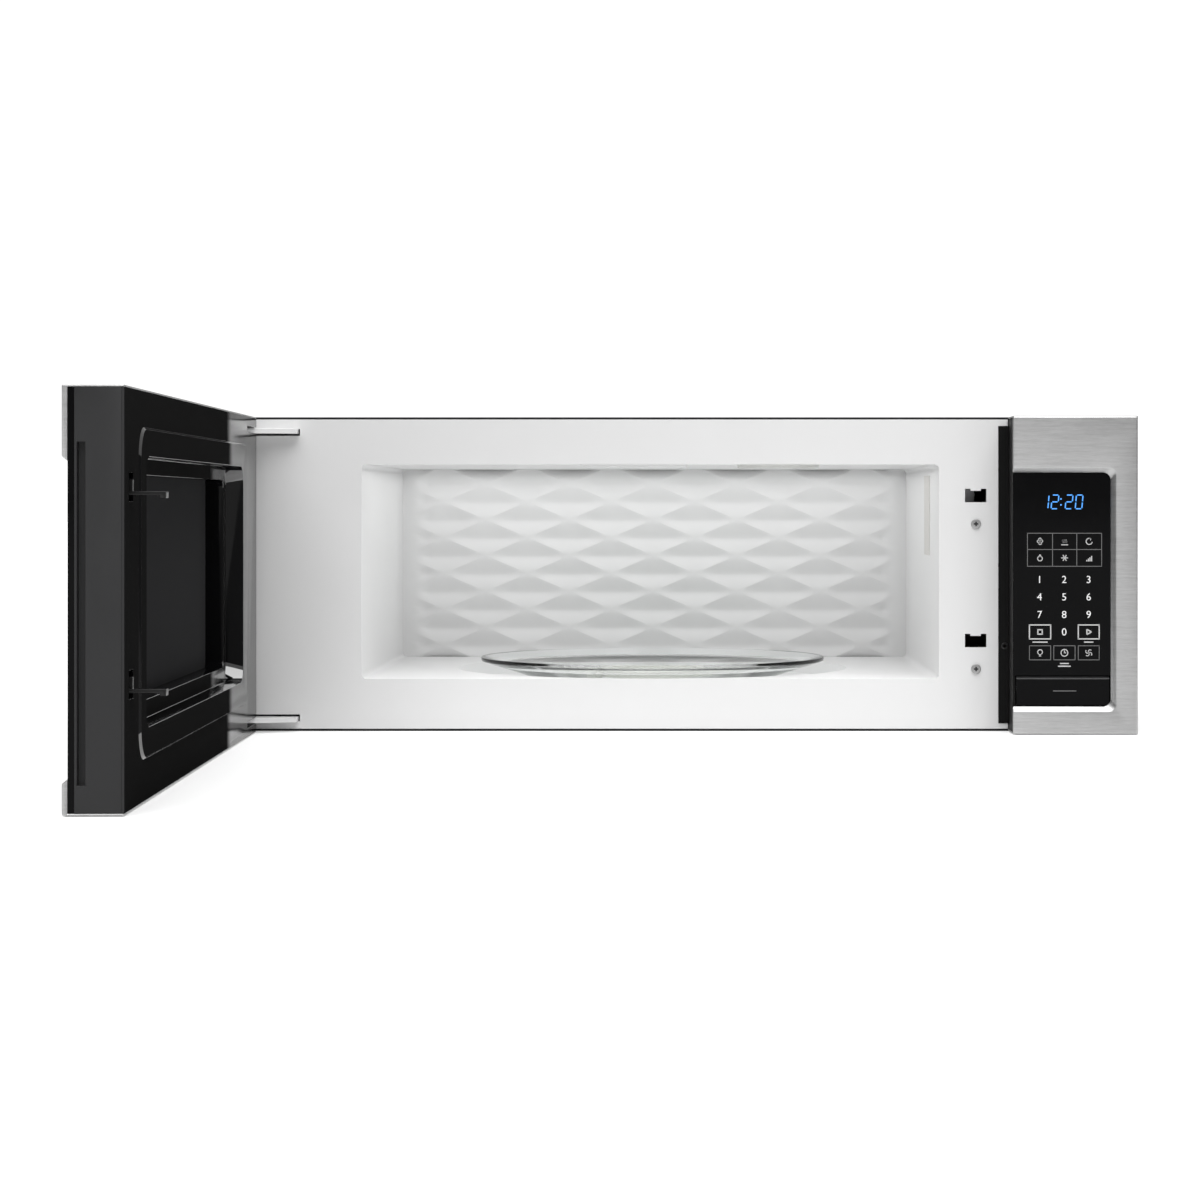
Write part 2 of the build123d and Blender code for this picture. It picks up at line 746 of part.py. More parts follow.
# ------------------------------------------------------------ hinge pieces
def hinge_bracket(z, inward):
    """Hinge arm with its pin, and the leg welded behind the cavity face."""
    leg_back = face_back_y + bracket_sheet
    arm = flat(arm_outline(), around(z, arm_thickness))
    arm += Pos(hinge_x, hinge_y, z) * Cylinder(eye_radius, arm_thickness)
    pin_length = arm_thickness + 2 * pin_reach
    arm += Pos(hinge_x, hinge_y, z) * Cylinder(pin_radius, pin_length)
    leg_z = between(z + inward * arm_thickness / 2, z - inward * (arm_thickness / 2 + bracket_leg))
    return arm + block(arm_x, (face_back_y, leg_back), leg_z)


def hinge_bracket_upper():
    return hinge_bracket(hinge_heights[0], -1)


def hinge_bracket_lower():
    return hinge_bracket(hinge_heights[1], 1)


def hinge_bushings():
    """Four plain bushings in the door, one above and one below each arm."""
    length = pin_reach - arm_slot_gap
    sleeves = []
    for z in hinge_heights:
        for low in (z + arm_thickness / 2 + arm_slot_gap, z - arm_thickness / 2 - pin_reach):
            start = (hinge_x, hinge_y, low)
            sleeves.append(ring(start, along_z, bushing_radius, pin_radius + fit_gap, length))
    return Compound(children=[sleeve.solid() for sleeve in sleeves])


# ------------------------------------------------------------ latch pieces in the cabinet
def screw(x, y, z, head_radius, head_height):
    """Pan-head screw seen from the front, with a cross recess."""
    head = rod((x, y - head_height, z), along_y, head_radius, head_height)
    shank = rod((x, y, z), along_y, screw_shank_radius - fit_gap, screw_length)
    recess_depth = (y - head_height - cut_margin, y - head_height / 2)
    recess = block(around(x, head_radius), recess_depth, around(z, screw_recess_width))
    recess += block(around(x, screw_recess_width), recess_depth, around(z, head_radius))
    return head + shank - recess


def front_screws():
    """Two screws through the cavity face into the latch board, one in the housing's flange."""
    screws = [screw(face_screw_x, face_y, z, face_screw_radius, face_screw_head) for z in face_screw_heights]
    screws.append(screw(flange_screw_x, door_back_y, flange_screw_z, flange_screw_radius,
                        flange_screw_head))
    return Compound(children=[item.solid() for item in screws])


def latch_board():
    """Moulded frame behind the face that takes the hooks and the switches."""
    x = around(latch_x, latch_board_width)
    z = (latch_lower_z - latch_board_overrun, latch_upper_z + latch_board_overrun)
    y = (face_back_y, face_back_y + latch_board_depth)
    board = block(x, y, z)
    hollow_y = (y[0] + latch_board_wall, y[1] + cut_margin)
    board -= block(grow(x, -latch_board_wall), hollow_y, grow(z, cut_margin))
    for low in (latch_upper_z + latch_shelf_gap, latch_lower_z + latch_shelf_gap,
                latch_upper_z - latch_shelf_gap - latch_board_wall):
        board += block(x, (y[0], y[1] - latch_board_wall), (low, low + latch_board_wall))
    for height in latch_heights:
        board -= latch_slot((y[0] - cut_margin, hollow_y[0] + cut_margin), height)
    for height in face_screw_heights:
        start = (face_screw_x, y[0] - cut_margin, height)
        board -= rod(start, along_y, screw_shank_radius, latch_board_wall + 2 * cut_margin)
    shaft_start = (x[0] - cut_margin, lever_y, lever_z)
    return board - rod(shaft_start, along_x, lever_radius + fit_gap, latch_board_width + 2 * cut_margin)


def interlock_switches():
    """Three door switches on the side of the latch board."""
    left = latch_x + latch_board_width / 2
    y = (face_back_y + switch_setback, face_back_y + switch_setback + switch_size[1])
    switches = []
    for place in range(switch_count):
        z = around(latch_upper_z - place * switch_pitch, switch_size[2])
        body = block((left, left + switch_size[0]), y, z)
        lug_x = around(left + switch_size[0] / 2, switch_lug[0])
        lug = block(lug_x, (y[1], y[1] + switch_lug[1]), around(sum(z) / 2, switch_lug[2]))
        switches.append((body + lug).solid())
    return Compound(children=switches)


def release_lever():
    """Bell crank that the button turns and that lifts the lower hook."""
    start_x = latch_x - latch_board_width / 2
    end_x = stem_x + paddle_width / 2 + lever_overhang
    lever = rod((start_x, lever_y, lever_z), along_x, lever_radius, end_x - start_x)
    paddle_x = around(stem_x, paddle_width)
    lever += rod((paddle_x[0], lever_y, lever_z), along_x, lever_hub_radius, paddle_width)
    lever += block(paddle_x, around(lever_y, paddle_thickness), (lever_z - paddle_reach, lever_z))
    finger_x = around(latch_x, finger_width)
    lever += rod((finger_x[0], lever_y, lever_z), along_x, lever_hub_radius, finger_width)
    tip_y = door_back_y + hook_reach - barb_length / 2
    tip_z = latch_lower_z - hook_thickness / 2 - barb_drop - finger_gap
    outline = [
        (lever_y - finger_thickness / 2, lever_z),
        (lever_y + finger_thickness / 2, lever_z - finger_thickness / 2),
        (tip_y + finger_thickness / 2, tip_z - finger_thickness),
        (tip_y + finger_thickness / 2, tip_z),
        (tip_y - finger_thickness / 2, tip_z),
    ]
    return lever + rising(outline, finger_x)


# ------------------------------------------------------------ control panel
housing_x = (panel_left + slide_gap, side_x - bezel_sheet)
housing_z = (base_z + bezel_sheet, top_z - bezel_sheet)
glass_back_y = glass_front_y + touch_glass_thickness
panel_board_x = grow(housing_x, -housing_wall - board_margin)
panel_board_z = (button_top_z + board_margin, housing_z[1] - housing_wall - board_margin)


def control_bezel():
    """Brushed steel front of the control panel, open towards the door."""
    height = (base_z, top_z)
    bezel = block((panel_left, side_x), (front_y, face_y), height)
    front_edges = bezel.faces().sort_by(Axis.Y)[0].edges()
    bezel = fillet(front_edges.sort_by(Axis.X)[1:], bezel_round)
    hollow_x = (panel_left - cut_margin, side_x - bezel_sheet)
    bezel -= block(hollow_x, (glass_front_y, face_y + cut_margin), grow(height, -bezel_sheet))
    window_left = panel_left - (panel_window_right - panel_left)
    opening_x = grow((window_left, panel_window_right), panel_bevel)
    opening_z = grow(panel_window_z, panel_bevel)
    return bezel - tapered(opening_x, opening_z, (front_y, glass_front_y), panel_corner, panel_bevel)


def touch_glass():
    """Black glass with the flat touch keys printed behind it."""
    x = (housing_x[0], panel_window_right + touch_glass_overlap)
    z = (button_top_z + button_gap, panel_window_z[1] + touch_glass_overlap)
    return block(x, (glass_front_y, glass_back_y), z)


def release_button():
    """Push bar below the glass, with a stem back to the release lever."""
    x = (housing_x[0] + housing_wall + button_gap, panel_window_right - button_gap)
    z = (panel_window_z[0] + button_gap, button_top_z)
    skirt_y = (glass_front_y + button_thickness,
               glass_front_y + button_thickness + button_travel + button_skirt_cover)
    button = block(x, (glass_front_y, skirt_y[1]), z)
    button -= block(grow(x, -housing_wall), (skirt_y[0], skirt_y[1] + cut_margin), grow(z, -housing_wall))
    paddle_front = lever_y - paddle_thickness / 2
    stem_end = paddle_front - move_gap - stem_tip_height
    stem_y = (skirt_y[0] - button_thickness / 2, stem_end)
    button += block(around(stem_x, stem_width), stem_y, around(stem_z, stem_width))
    tip_y = (stem_end, paddle_front - move_gap)
    return button + block(around(stem_x, stem_width), tip_y, around(stem_z, stem_tip_height))


def control_housing():
    """Black moulded tray behind the panel, with its flange beside the cavity face."""
    depth = (glass_back_y, face_back_y)
    housing = block(housing_x, depth, housing_z)
    inside_y = (depth[0] - cut_margin, door_back_y)
    housing -= block(grow(housing_x, -housing_wall), inside_y, grow(housing_z, -housing_wall))
    flange_z = (inner_base_z + face_margin + face_tab_low + slide_gap,
                inner_top_z - face_margin - face_tab_high - slide_gap)
    flange_x = (face_right + slide_gap, housing_x[0] + housing_wall)
    housing += block(flange_x, (door_back_y, face_back_y), flange_z)
    rear_cut = grow((door_back_y, face_back_y), cut_margin)
    hole = stem_width + 2 * slide_gap
    housing -= block(around(stem_x, hole), rear_cut, around(stem_z, hole))
    for x in grow(panel_board_x, -board_margin):
        for z in grow(panel_board_z, -board_margin):
            start = (x, board_y + board_sheet, z)
            housing += rod(start, along_y, board_post_radius, board_standoff)
    screw_start = (flange_screw_x, rear_cut[0], flange_screw_z)
    return housing - rod(screw_start, along_y, screw_shank_radius, rear_cut[1] - rear_cut[0])


def control_board():
    """Circuit board of the panel with its relays."""
    board = block(panel_board_x, (board_y, board_y + board_sheet), panel_board_z)
    low = panel_board_z[0] + board_margin
    for place in range(relay_count):
        z = low + place * relay_pitch
        x = panel_board_x[0] + board_margin
        board += block((x, x + relay_size[0]), (board_y - relay_size[1], board_y), (z, z + relay_size[2]))
    return board


def display_module():
    """Digit display between the board and the glass."""
    x = (panel_left + display_inset, panel_left + display_inset + display_width)
    top = top_z - display_drop
    return block(x, (glass_back_y, board_y), (top - display_height, top))


# ------------------------------------------------------------ turntable
roller_z = (well_floor + plate_base) / 2
roller_radius = (plate_base - well_floor) / 2 - move_gap
ring_outer_radius = ring_inner_radius + ring_width
roller_start = ring_outer_radius + roller_offset
coupler_top = plate_base - move_gap


def at_table(shape):
    """Moves a shape made about Z = 0's axis to the turntable's axis."""
    return Pos(table_x, table_y, 0) * shape


def glass_plate():
    """Round glass plate with a raised rim and a socket under its middle."""
    rim = plate_diameter / 2
    top = plate_base + plate_height
    profile = [
        (0, plate_base),
        (plate_flat_radius, plate_base),
        (rim, top - plate_lip),
        (rim, top),
        (rim - plate_lip, top),
        (plate_flat_radius - plate_lip, plate_base + plate_glass),
        (0, plate_base + plate_glass),
    ]
    outline = Plane.XZ * make_face(Polyline(*profile, close=True))
    plate = revolve(outline, Axis.Z)
    socket_start = (0, 0, plate_base - socket_drop)
    inner = coupler_radius + move_gap
    plate += ring(socket_start, along_z, inner + socket_wall, inner, socket_drop)
    return at_table(plate)


def drive_coupler():
    """Lobed drive head on the turntable motor's shaft."""
    height = coupler_top - well_floor - move_gap
    low = well_floor + move_gap
    head = Pos(0, 0, low + height / 2) * Cylinder(coupler_radius - coupler_lobe, height)
    for lobe in range(coupler_lobes):
        arm = block((0, coupler_radius), around(0, coupler_lobe), (low, coupler_top))
        head += Rot(0, 0, lobe * 360 / coupler_lobes) * arm
    shaft_low = well_floor - cavity_sheet - coupler_shaft_length
    head += rod((0, 0, shaft_low), along_z, coupler_shaft_radius, low - shaft_low)
    return at_table(head)


def roller_places():
    """Angles of the rollers round the ring."""
    return [place * 360 / rollers for place in range(rollers)]


def roller_ring():
    """Flat ring with three stub axles that runs in the well."""
    low = roller_z - ring_height / 2
    track = ring((0, 0, low), along_z, ring_outer_radius, ring_inner_radius, ring_height)
    for angle in roller_places():
        axle_x = (ring_outer_radius - ring_width / 2, roller_start + roller_width + move_gap)
        axle = rod((axle_x[0], 0, roller_z), along_x, axle_radius, axle_x[1] - axle_x[0])
        axle += rod((axle_x[1], 0, roller_z), along_x, axle_radius + axle_cap, axle_cap)
        track += Rot(0, 0, angle) * axle
    return at_table(track)


def roller(angle):
    """One small wheel under the plate."""
    wheel = ring((roller_start, 0, roller_z), along_x, roller_radius, axle_radius + fit_gap, roller_width)
    return at_table(Rot(0, 0, angle) * wheel)


def turntable_motor():
    """Flat geared motor under the cavity floor."""
    low = well_floor - cavity_sheet - motor_height
    motor = Pos(0, 0, low + motor_height / 2) * Cylinder(motor_radius, motor_height)
    bore_low = well_floor - cavity_sheet - coupler_shaft_length - move_gap
    bore_length = well_floor - cavity_sheet + cut_margin - bore_low
    motor -= rod((0, 0, bore_low), along_z, coupler_shaft_radius + fit_gap, bore_length)
    return at_table(motor)


# ------------------------------------------------------------ electronics bay
def waveguide():
    """Folded duct on the cavity's right wall."""
    x = (bay_left, bay_left + waveguide_width)
    y = (face_y + waveguide_start, face_y + waveguide_start + waveguide_length)
    top = cavity_ceiling - waveguide_drop
    z = (top - waveguide_height, top)
    duct = block(x, y, z)
    duct -= block((x[0] - cut_margin, x[1] - waveguide_sheet), grow(y, -waveguide_sheet),
                  grow(z, -waveguide_sheet))
    start = (x[1] - waveguide_sheet - cut_margin, magnetron_y, magnetron_z)
    hole_radius = antenna_radius + antenna_hole_gap
    return duct - rod(start, along_x, hole_radius, waveguide_sheet + 2 * cut_margin)


def magnetron():
    """Microwave tube in its steel frame, with cooling fins."""
    left = bay_left + waveguide_width
    x = (left, left + magnetron_size[0])
    y = around(magnetron_y, magnetron_size[1])
    z = around(magnetron_z, magnetron_size[2])
    tube = block(x, y, z) - block(grow(x, -magnetron_frame), grow(y, cut_margin), grow(z, -magnetron_frame))
    tube += rod((x[0], magnetron_y, magnetron_z), along_x, anode_radius, magnetron_size[0])
    fin_pitch = (magnetron_size[0] - 2 * fin_margin) / (fin_count - 1)
    for fin in range(fin_count):
        low = x[0] + fin_margin + fin * fin_pitch
        tube += block(around(low, fin_thickness), grow(y, -fin_margin), z)
    antenna_start = (x[0] - antenna_length, magnetron_y, magnetron_z)
    return tube + rod(antenna_start, along_x, antenna_radius, antenna_length)


def transformer():
    """High-voltage transformer, a laminated core with two coils."""
    x = (bay_left + transformer_inset, bay_left + transformer_inset + transformer_width)
    y = (face_y + transformer_setback, face_y + transformer_setback + transformer_depth)
    z = (inner_base_z, inner_base_z + transformer_height)
    core = block(x, y, z)
    coil_z = around(sum(z) / 2, coil_height)
    coil = block(grow(x, -coil_margin), grow(y, coil_overhang), coil_z)
    coil = fillet(coil.edges().filter_by(Axis.X), coil_margin / 2)
    return core + coil


capacitor_x = (side_x - capacitor_inset - capacitor_width, side_x - capacitor_inset)
capacitor_y = (face_y + capacitor_setback, face_y + capacitor_setback + capacitor_depth)


def capacitor():
    """Oval high-voltage capacitor with two terminals."""
    z = (inner_base_z, inner_base_z + capacitor_height)
    can = block(capacitor_x, capacitor_y, z)
    can = fillet(can.edges().filter_by(Axis.Z), (capacitor_width - capacitor_flat) / 2)
    for y in around(sum(capacitor_y) / 2, terminal_spacing):
        can += rod((sum(capacitor_x) / 2, y, z[1]), along_z, terminal_radius, terminal_height)
    return can


def diode():
    """High-voltage diode lying on the base beside the capacitor."""
    x = capacitor_x[0] - diode_gap - diode_radius
    start = (x, sum(capacitor_y) / 2 - diode_length / 2, inner_base_z + diode_radius)
    body = rod(start, along_y, diode_radius, diode_length)
    foot = block(around(x, diode_radius), around(sum(capacitor_y) / 2, diode_length),
                 (inner_base_z, inner_base_z + diode_radius))
    return body + foot


def bay_partition():
    """Sheet that carries the cooling fan and steers its air to the magnetron."""
    y = (partition_y, partition_y + partition_sheet)
    sheet = block((bay_left, inner_side_x), y, (cavity_ceiling - partition_drop, inner_top_z))
    start = (fan_x, y[0] - cut_margin, fan_z)
    return sheet - rod(start, along_y, fan_radius + fan_setback / 2, partition_sheet + 2 * cut_margin)


fan_y = partition_y + partition_sheet + fan_setback
fan_motor_y = fan_y + fan_depth + fan_motor_gap


def cooling_fan():
    """Axial fan on its shaft."""
    start = (fan_x, fan_y, fan_z)
    fan = rod(start, along_y, fan_hub_radius, fan_depth)
    half_thickness = fan_blade_sheet / 2
    for place in range(fan_blades):
        blade_x = (fan_hub_radius / 2, fan_radius)
        blade = block(blade_x, (-half_thickness, half_thickness), around(0, fan_depth))
        blade = Rot(fan_blade_pitch, 0, 0) * blade
        turned = Rot(0, place * 360 / fan_blades, 0) * Rot(90, 0, 0) * blade
        fan += Pos(fan_x, fan_y + fan_depth / 2, fan_z) * turned
    return fan + rod(start, along_y, fan_shaft_radius, fan_depth + fan_motor_gap + fan_motor_depth / 2)


def fan_motor():
    """Shaded-pole motor on four posts from the partition."""
    y = (fan_motor_y, fan_motor_y + fan_motor_depth)
    side = fan_motor_size / 2
    motor = block((fan_x - side, fan_x + side), y, (fan_z - side, fan_z + side))
    motor -= rod((fan_x, y[0] - cut_margin, fan_z), along_y, fan_shaft_radius + fit_gap,
                 fan_motor_depth / 2 + cut_margin + move_gap)
    post_start = partition_y + partition_sheet
    for side_sign in (-1, 1):
        x = fan_x + side_sign * fan_post_offset
        motor += rod((x, post_start, fan_z), along_y, fan_post_radius, y[0] + fan_post_radius - post_start)
        strap_x = between(x, fan_x + side_sign * side / 2)
        motor += block(strap_x, (y[0], y[0] + fan_post_radius), around(fan_z, 2 * fan_post_radius))
    return motor


filter_board_x = (side_x - filter_board_inset - filter_board_width, side_x - filter_board_inset)
filter_board_z = (top_z - filter_board_drop - filter_board_height, top_z - filter_board_drop)


def noise_filter():
    """Mains filter board on posts from the rear panel."""
    board_back = panel_back_y - board_standoff
    y = (board_back - board_sheet, board_back)
    board = block(filter_board_x, y, filter_board_z)
    for x in grow(filter_board_x, -board_margin):
        for z in grow(filter_board_z, -board_margin):
            board += rod((x, y[1], z), along_y, board_post_radius, board_standoff)
    middle_z = sum(filter_board_z) / 2
    for x in grow(filter_board_x, -filter_choke_inset):
        choke_start = (x, y[0] - filter_choke_height, middle_z)
        board += rod(choke_start, along_y, filter_choke_radius, filter_choke_height)
    return board


# ------------------------------------------------------------ ventilation
def blower_middle(y):
    """A point on the blower's axis."""
    return (blower_x, y, blower_z)


def blower_motor():
    """Vent motor between the two blower wheels."""
    length = blower_motor_y[1] - blower_motor_y[0]
    motor = rod(blower_middle(blower_motor_y[0]), along_y, blower_motor_radius, length)
    bore_start = blower_middle(blower_motor_y[0] - cut_margin)
    return motor - rod(bore_start, along_y, blower_shaft_radius + fit_gap, length + 2 * cut_margin)


def blower_span():
    """Depths of the outer ends of the two wheels."""
    reach = wheel_gap + wheel_length
    return grow(blower_motor_y, reach)


def blower_shaft():
    """Shaft through the vent motor that carries both wheels."""
    ends = blower_span()
    return rod(blower_middle(ends[0]), along_y, blower_shaft_radius, ends[1] - ends[0])


def blower_wheel():
    """Wheel about its own axis: a disc at Y = 0 and blades towards +Y."""
    origin = (0, 0, 0)
    wheel = ring(origin, along_y, wheel_radius, blower_shaft_radius, wheel_disc)
    hub_radius = blower_shaft_radius + wheel_hub_wall
    wheel += ring(origin, along_y, hub_radius, blower_shaft_radius, wheel_hub_length)
    end_start = (0, wheel_length - wheel_disc, 0)
    wheel += ring(end_start, along_y, wheel_radius, wheel_inner_radius, wheel_disc)
    for place in range(wheel_blades):
        blade = block((wheel_inner_radius, wheel_radius - wheel_blade_sheet / 2), (0, wheel_length),
                      around(0, wheel_blade_sheet))
        wheel += Rot(0, place * 360 / wheel_blades, 0) * blade
    return wheel


def blower_wheel_rear():
    start = blower_middle(blower_motor_y[1] + wheel_gap)
    return Pos(*start) * blower_wheel()


def blower_wheel_front():
    start = blower_middle(blower_motor_y[0] - wheel_gap)
    return Pos(*start) * Rot(0, 0, 180) * blower_wheel()


def scroll(inset, rise, y):
    """Round casing outline with its outlet rising on the left."""
    radius = scroll_radius - inset
    shape = rod(blower_middle(y[0]), along_y, radius, y[1] - y[0])
    outlet_x = (blower_x - radius, blower_x - inset)
    return shape + block(outlet_x, y, (blower_z, blower_z + rise))


def blower_housing():
    """Sheet casing round both wheels, with the motor held between two walls."""
    ends = grow(blower_span(), scroll_overhang)
    casing = scroll(0, scroll_outlet_rise, ends)
    casing -= scroll(scroll_wall, scroll_outlet_rise + cut_margin, grow(ends, -scroll_wall))
    inlet_start = blower_middle(ends[0] - cut_margin)
    casing -= rod(inlet_start, along_y, wheel_inner_radius, ends[1] - ends[0] + 2 * cut_margin)
    for y in (blower_motor_y[0], blower_motor_y[1] - scroll_wall):
        wall = rod(blower_middle(y), along_y, scroll_radius - scroll_wall / 2, scroll_wall)
        casing += wall - rod(blower_middle(y - cut_margin), along_y, blower_motor_radius,
                             scroll_wall + 2 * cut_margin)
    for y in (ends[0], ends[1] - scroll_leg_depth):
        leg = block(around(blower_x, scroll_leg_width), (y, y + scroll_leg_depth),
                    (inner_base_z, blower_z - wheel_inner_radius - scroll_wall))
        casing += leg
    return casing


flap_hinge_y = exhaust_y[1] - flap_barrel_radius - slide_gap
flap_z = inner_top_z - flap_barrel_radius


def exhaust_collar():
    """Frame under the exhaust opening, with a ledge that stops the flap."""
    z = (inner_top_z - collar_drop, inner_top_z)
    collar = block(grow(exhaust_x, collar_wall), grow(exhaust_y, collar_wall), z)
    collar -= block(exhaust_x, exhaust_y, grow(z, cut_margin))
    ledge_top = flap_z - flap_thickness / 2 - move_gap
    ledge_y = (exhaust_y[0], exhaust_y[0] + flap_ledge)
    collar += block(exhaust_x, ledge_y, (ledge_top - flap_ledge / 2, ledge_top))
    bore_x = grow(exhaust_x, collar_wall + cut_margin)
    bore_start = (bore_x[0], flap_hinge_y, flap_z)
    return collar - rod(bore_start, along_x, flap_pin_radius + fit_gap, bore_x[1] - bore_x[0])


def damper_flap():
    """Light flap that the exhaust air lifts and that falls shut."""
    x = grow(exhaust_x, -flap_gap)
    flap = block(x, (exhaust_y[0] + flap_gap, flap_hinge_y), around(flap_z, flap_thickness))
    flap += rod((x[0], flap_hinge_y, flap_z), along_x, flap_barrel_radius, x[1] - x[0])
    pin_start = (x[0] - flap_pin_reach, flap_hinge_y, flap_z)
    return flap + rod(pin_start, along_x, flap_pin_radius, x[1] - x[0] + 2 * flap_pin_reach)


def grease_filters():
    """Two aluminium frames round layers of mesh, each over its opening in the base."""
    z = (inner_base_z, inner_base_z + filter_height)
    filters = []
    for x, y in filter_spans():
        frame = block(x, y, z)
        frame -= block(grow(x, -filter_rim), grow(y, -filter_rim), grow(z, cut_margin))
        frame += block(grow(x, -filter_rim), grow(y, -filter_rim), around(sum(z) / 2, filter_mesh))
        filters.append(frame.solid())
    return Compound(children=filters)


def light_lenses():
    """Two clear lenses in the underside for the cooktop lights."""
    lenses = []
    for center in light_centers:
        x = grow(around(center, light_size[0]), -move_gap)
        y = grow(around(light_y, light_size[1]), -move_gap)
        lens = block(x, y, (base_z, inner_base_z + light_lens_sheet))
        flange_z = (inner_base_z, inner_base_z + light_lens_sheet)
        lens += block(grow(x, light_flange), grow(y, light_flange), flange_z)
        lenses.append(lens.solid())
    return Compound(children=lenses)


def light_boards():
    """Two lamp boards on posts above the lenses."""
    boards = []
    low = inner_base_z + light_lens_sheet + light_board_lift
    for center in light_centers:
        x = around(center, light_size[0])
        y = around(light_y, light_size[1])
        board = block(x, y, (low, low + board_sheet))
        for post_x in x:
            start = (post_x, light_y, inner_base_z + light_lens_sheet)
            board += rod(start, along_z, board_post_radius, light_board_lift + board_sheet)
        boards.append(board.solid())
    return Compound(children=boards)


# ------------------------------------------------------------ door, made shut
frame_y = (front_y + trim_front + door_glass_thickness, cover_back_y)
step_y = door_back_y - step_depth
lower_x = (window_x[0] + step_inset_hinge, window_x[1] - step_inset)
lower_z = grow(window_z, -step_inset)
bar_x = around(latch_x, latch_bar_width)
bar_y = (front_y + latch_bar_setback, front_y + latch_bar_setback + latch_bar_depth)
bar_z = (latch_lower_z - latch_bar_overrun, latch_upper_z + latch_bar_overrun)
shelf_z = bar_z[1] + latch_spring_length
cover_slot_above = gusset_rise + latch_travel + cover_slot_spare


def door_plan():
    """Outline of the door seen from above, round about the hinge at its inner corner."""
    height = door_z
    plan = block((hinge_x, door_right), (front_y, door_back_y), height)
    plan += block((door_left, hinge_x), (front_y, hinge_y), height)
    return plan + rod((hinge_x, hinge_y, height[0]), along_z, hinge_x - door_left, height[1] - height[0])


def arm_slots():
    """Room in the door for both hinge arms through the whole swing."""
    x = (door_left - cut_margin, hinge_x + arm_slot_reach)
    y = (hinge_y - eye_radius - slide_gap, door_back_y + cut_margin)
    height = arm_thickness + 2 * arm_slot_gap
    return [block(x, y, around(z, height)) for z in hinge_heights]


def door_trim():
    """Brushed steel front of the door, returned over its top, bottom and hinge side."""
    trim = block(door_x, (front_y, front_y + trim_front), door_z)
    window_right = door_right + trim_side_bar
    opening_x = (door_left + trim_side_bar - trim_bevel, window_right)
    opening_z = (door_z[0] + trim_bottom_band - trim_bevel, door_z[1] - trim_top_band + trim_bevel)
    trim -= tapered(opening_x, opening_z, (front_y, front_y + trim_front), trim_corner, trim_bevel)
    for low in (door_z[0], door_z[1] - trim_sheet):
        trim += block(door_x, (front_y + trim_front, rim_y), (low, low + trim_sheet))
    trim += block((door_left, door_left + trim_sheet), (front_y + trim_front, hinge_y), door_z)
    return trim & door_plan()


def door_glass():
    """Black-edged front glass of the door."""
    x = (door_left + trim_sheet, door_right - slide_gap)
    y = (front_y + trim_front, frame_y[0])
    return block(x, y, grow(door_z, -trim_sheet))


def door_frame():
    """Dark moulded frame that carries the door's other pieces."""
    x = (door_left + trim_sheet, door_right)
    z = grow(door_z, -trim_sheet)
    inside_x = (x[0] + door_wall, x[1] - groove_depth - door_wall)
    frame = block(x, frame_y, z)
    pocket_y = (frame_y[0] + frame_front_sheet, frame_y[1] + cut_margin)
    pocket = block(inside_x, pocket_y, grow(z, -door_wall))
    pocket -= block(grow(window_x, choke_width), grow(pocket_y, cut_margin), grow(window_z, choke_width))
    frame -= pocket
    frame -= block(grow(window_x, choke_width - door_wall), grow(frame_y, cut_margin),
                   grow(window_z, choke_width - door_wall))
    for low in (z[0], z[1] - hinge_block_height):
        frame += block((x[0], hinge_x + hinge_block_reach), frame_y, (low, low + hinge_block_height))
    rail_y = (pocket_y[0], bar_y[1])
    for low in (bar_x[0] - move_gap - rail_width, bar_x[1] + move_gap):
        frame += block((low, low + rail_width), rail_y, bar_z)
    frame += block(grow(bar_x, move_gap), rail_y, (shelf_z, shelf_z + spring_shelf))
    groove_front = frame_y[0] + groove_setback
    frame -= block((door_right - groove_depth, door_right + cut_margin),
                   (groove_front, groove_front + groove_width), groove_z)
    frame -= arm_slots()
    for z_arm in hinge_heights:
        length = arm_thickness + 2 * pin_reach + 2 * move_gap
        frame -= Pos(hinge_x, hinge_y, z_arm) * Cylinder(bushing_radius, length)
    return frame & door_plan()


def door_inner_cover():
    """Glossy black cover: rim, raised field and the stepped window well."""
    x = (door_left + trim_sheet, door_right)
    cover = block(x, (cover_back_y, rim_y), grow(door_z, -trim_sheet))
    cover += tapered(field_x, field_z, (rim_y, door_back_y), field_corner, field_bevel)
    through = (window_floor_y - cut_margin, door_back_y + cut_margin)
    outer_x = grow(window_x, window_wall)
    outer_z = grow(window_z, window_wall)
    cover += rounded(outer_x, (step_y - window_wall, cover_back_y), outer_z, window_corner + window_wall)
    lower_corner = window_corner / 2
    cover += rounded(grow(lower_x, window_wall), (window_floor_y, step_y - window_wall),
                     grow(lower_z, window_wall), lower_corner + window_wall)
    cover -= rounded(window_x, (step_y, through[1]), window_z, window_corner)
    cover -= rounded(lower_x, through, lower_z, lower_corner)
    hook_cut = grow((cover_back_y, rim_y), cut_margin)
    for z in latch_heights:
        slot_z = (z - cover_slot_below, z + cover_slot_above)
        cover -= block(around(latch_x, cover_slot_width), hook_cut, slot_z)
    cover -= arm_slots()
    return cover & door_plan()


def window_pane():
    """Dark pane at the bottom of the window well."""
    overlap = pane_overlap - step_inset
    y = (window_floor_y - pane_thickness, window_floor_y)
    return block(grow(window_x, overlap), y, grow(window_z, overlap))


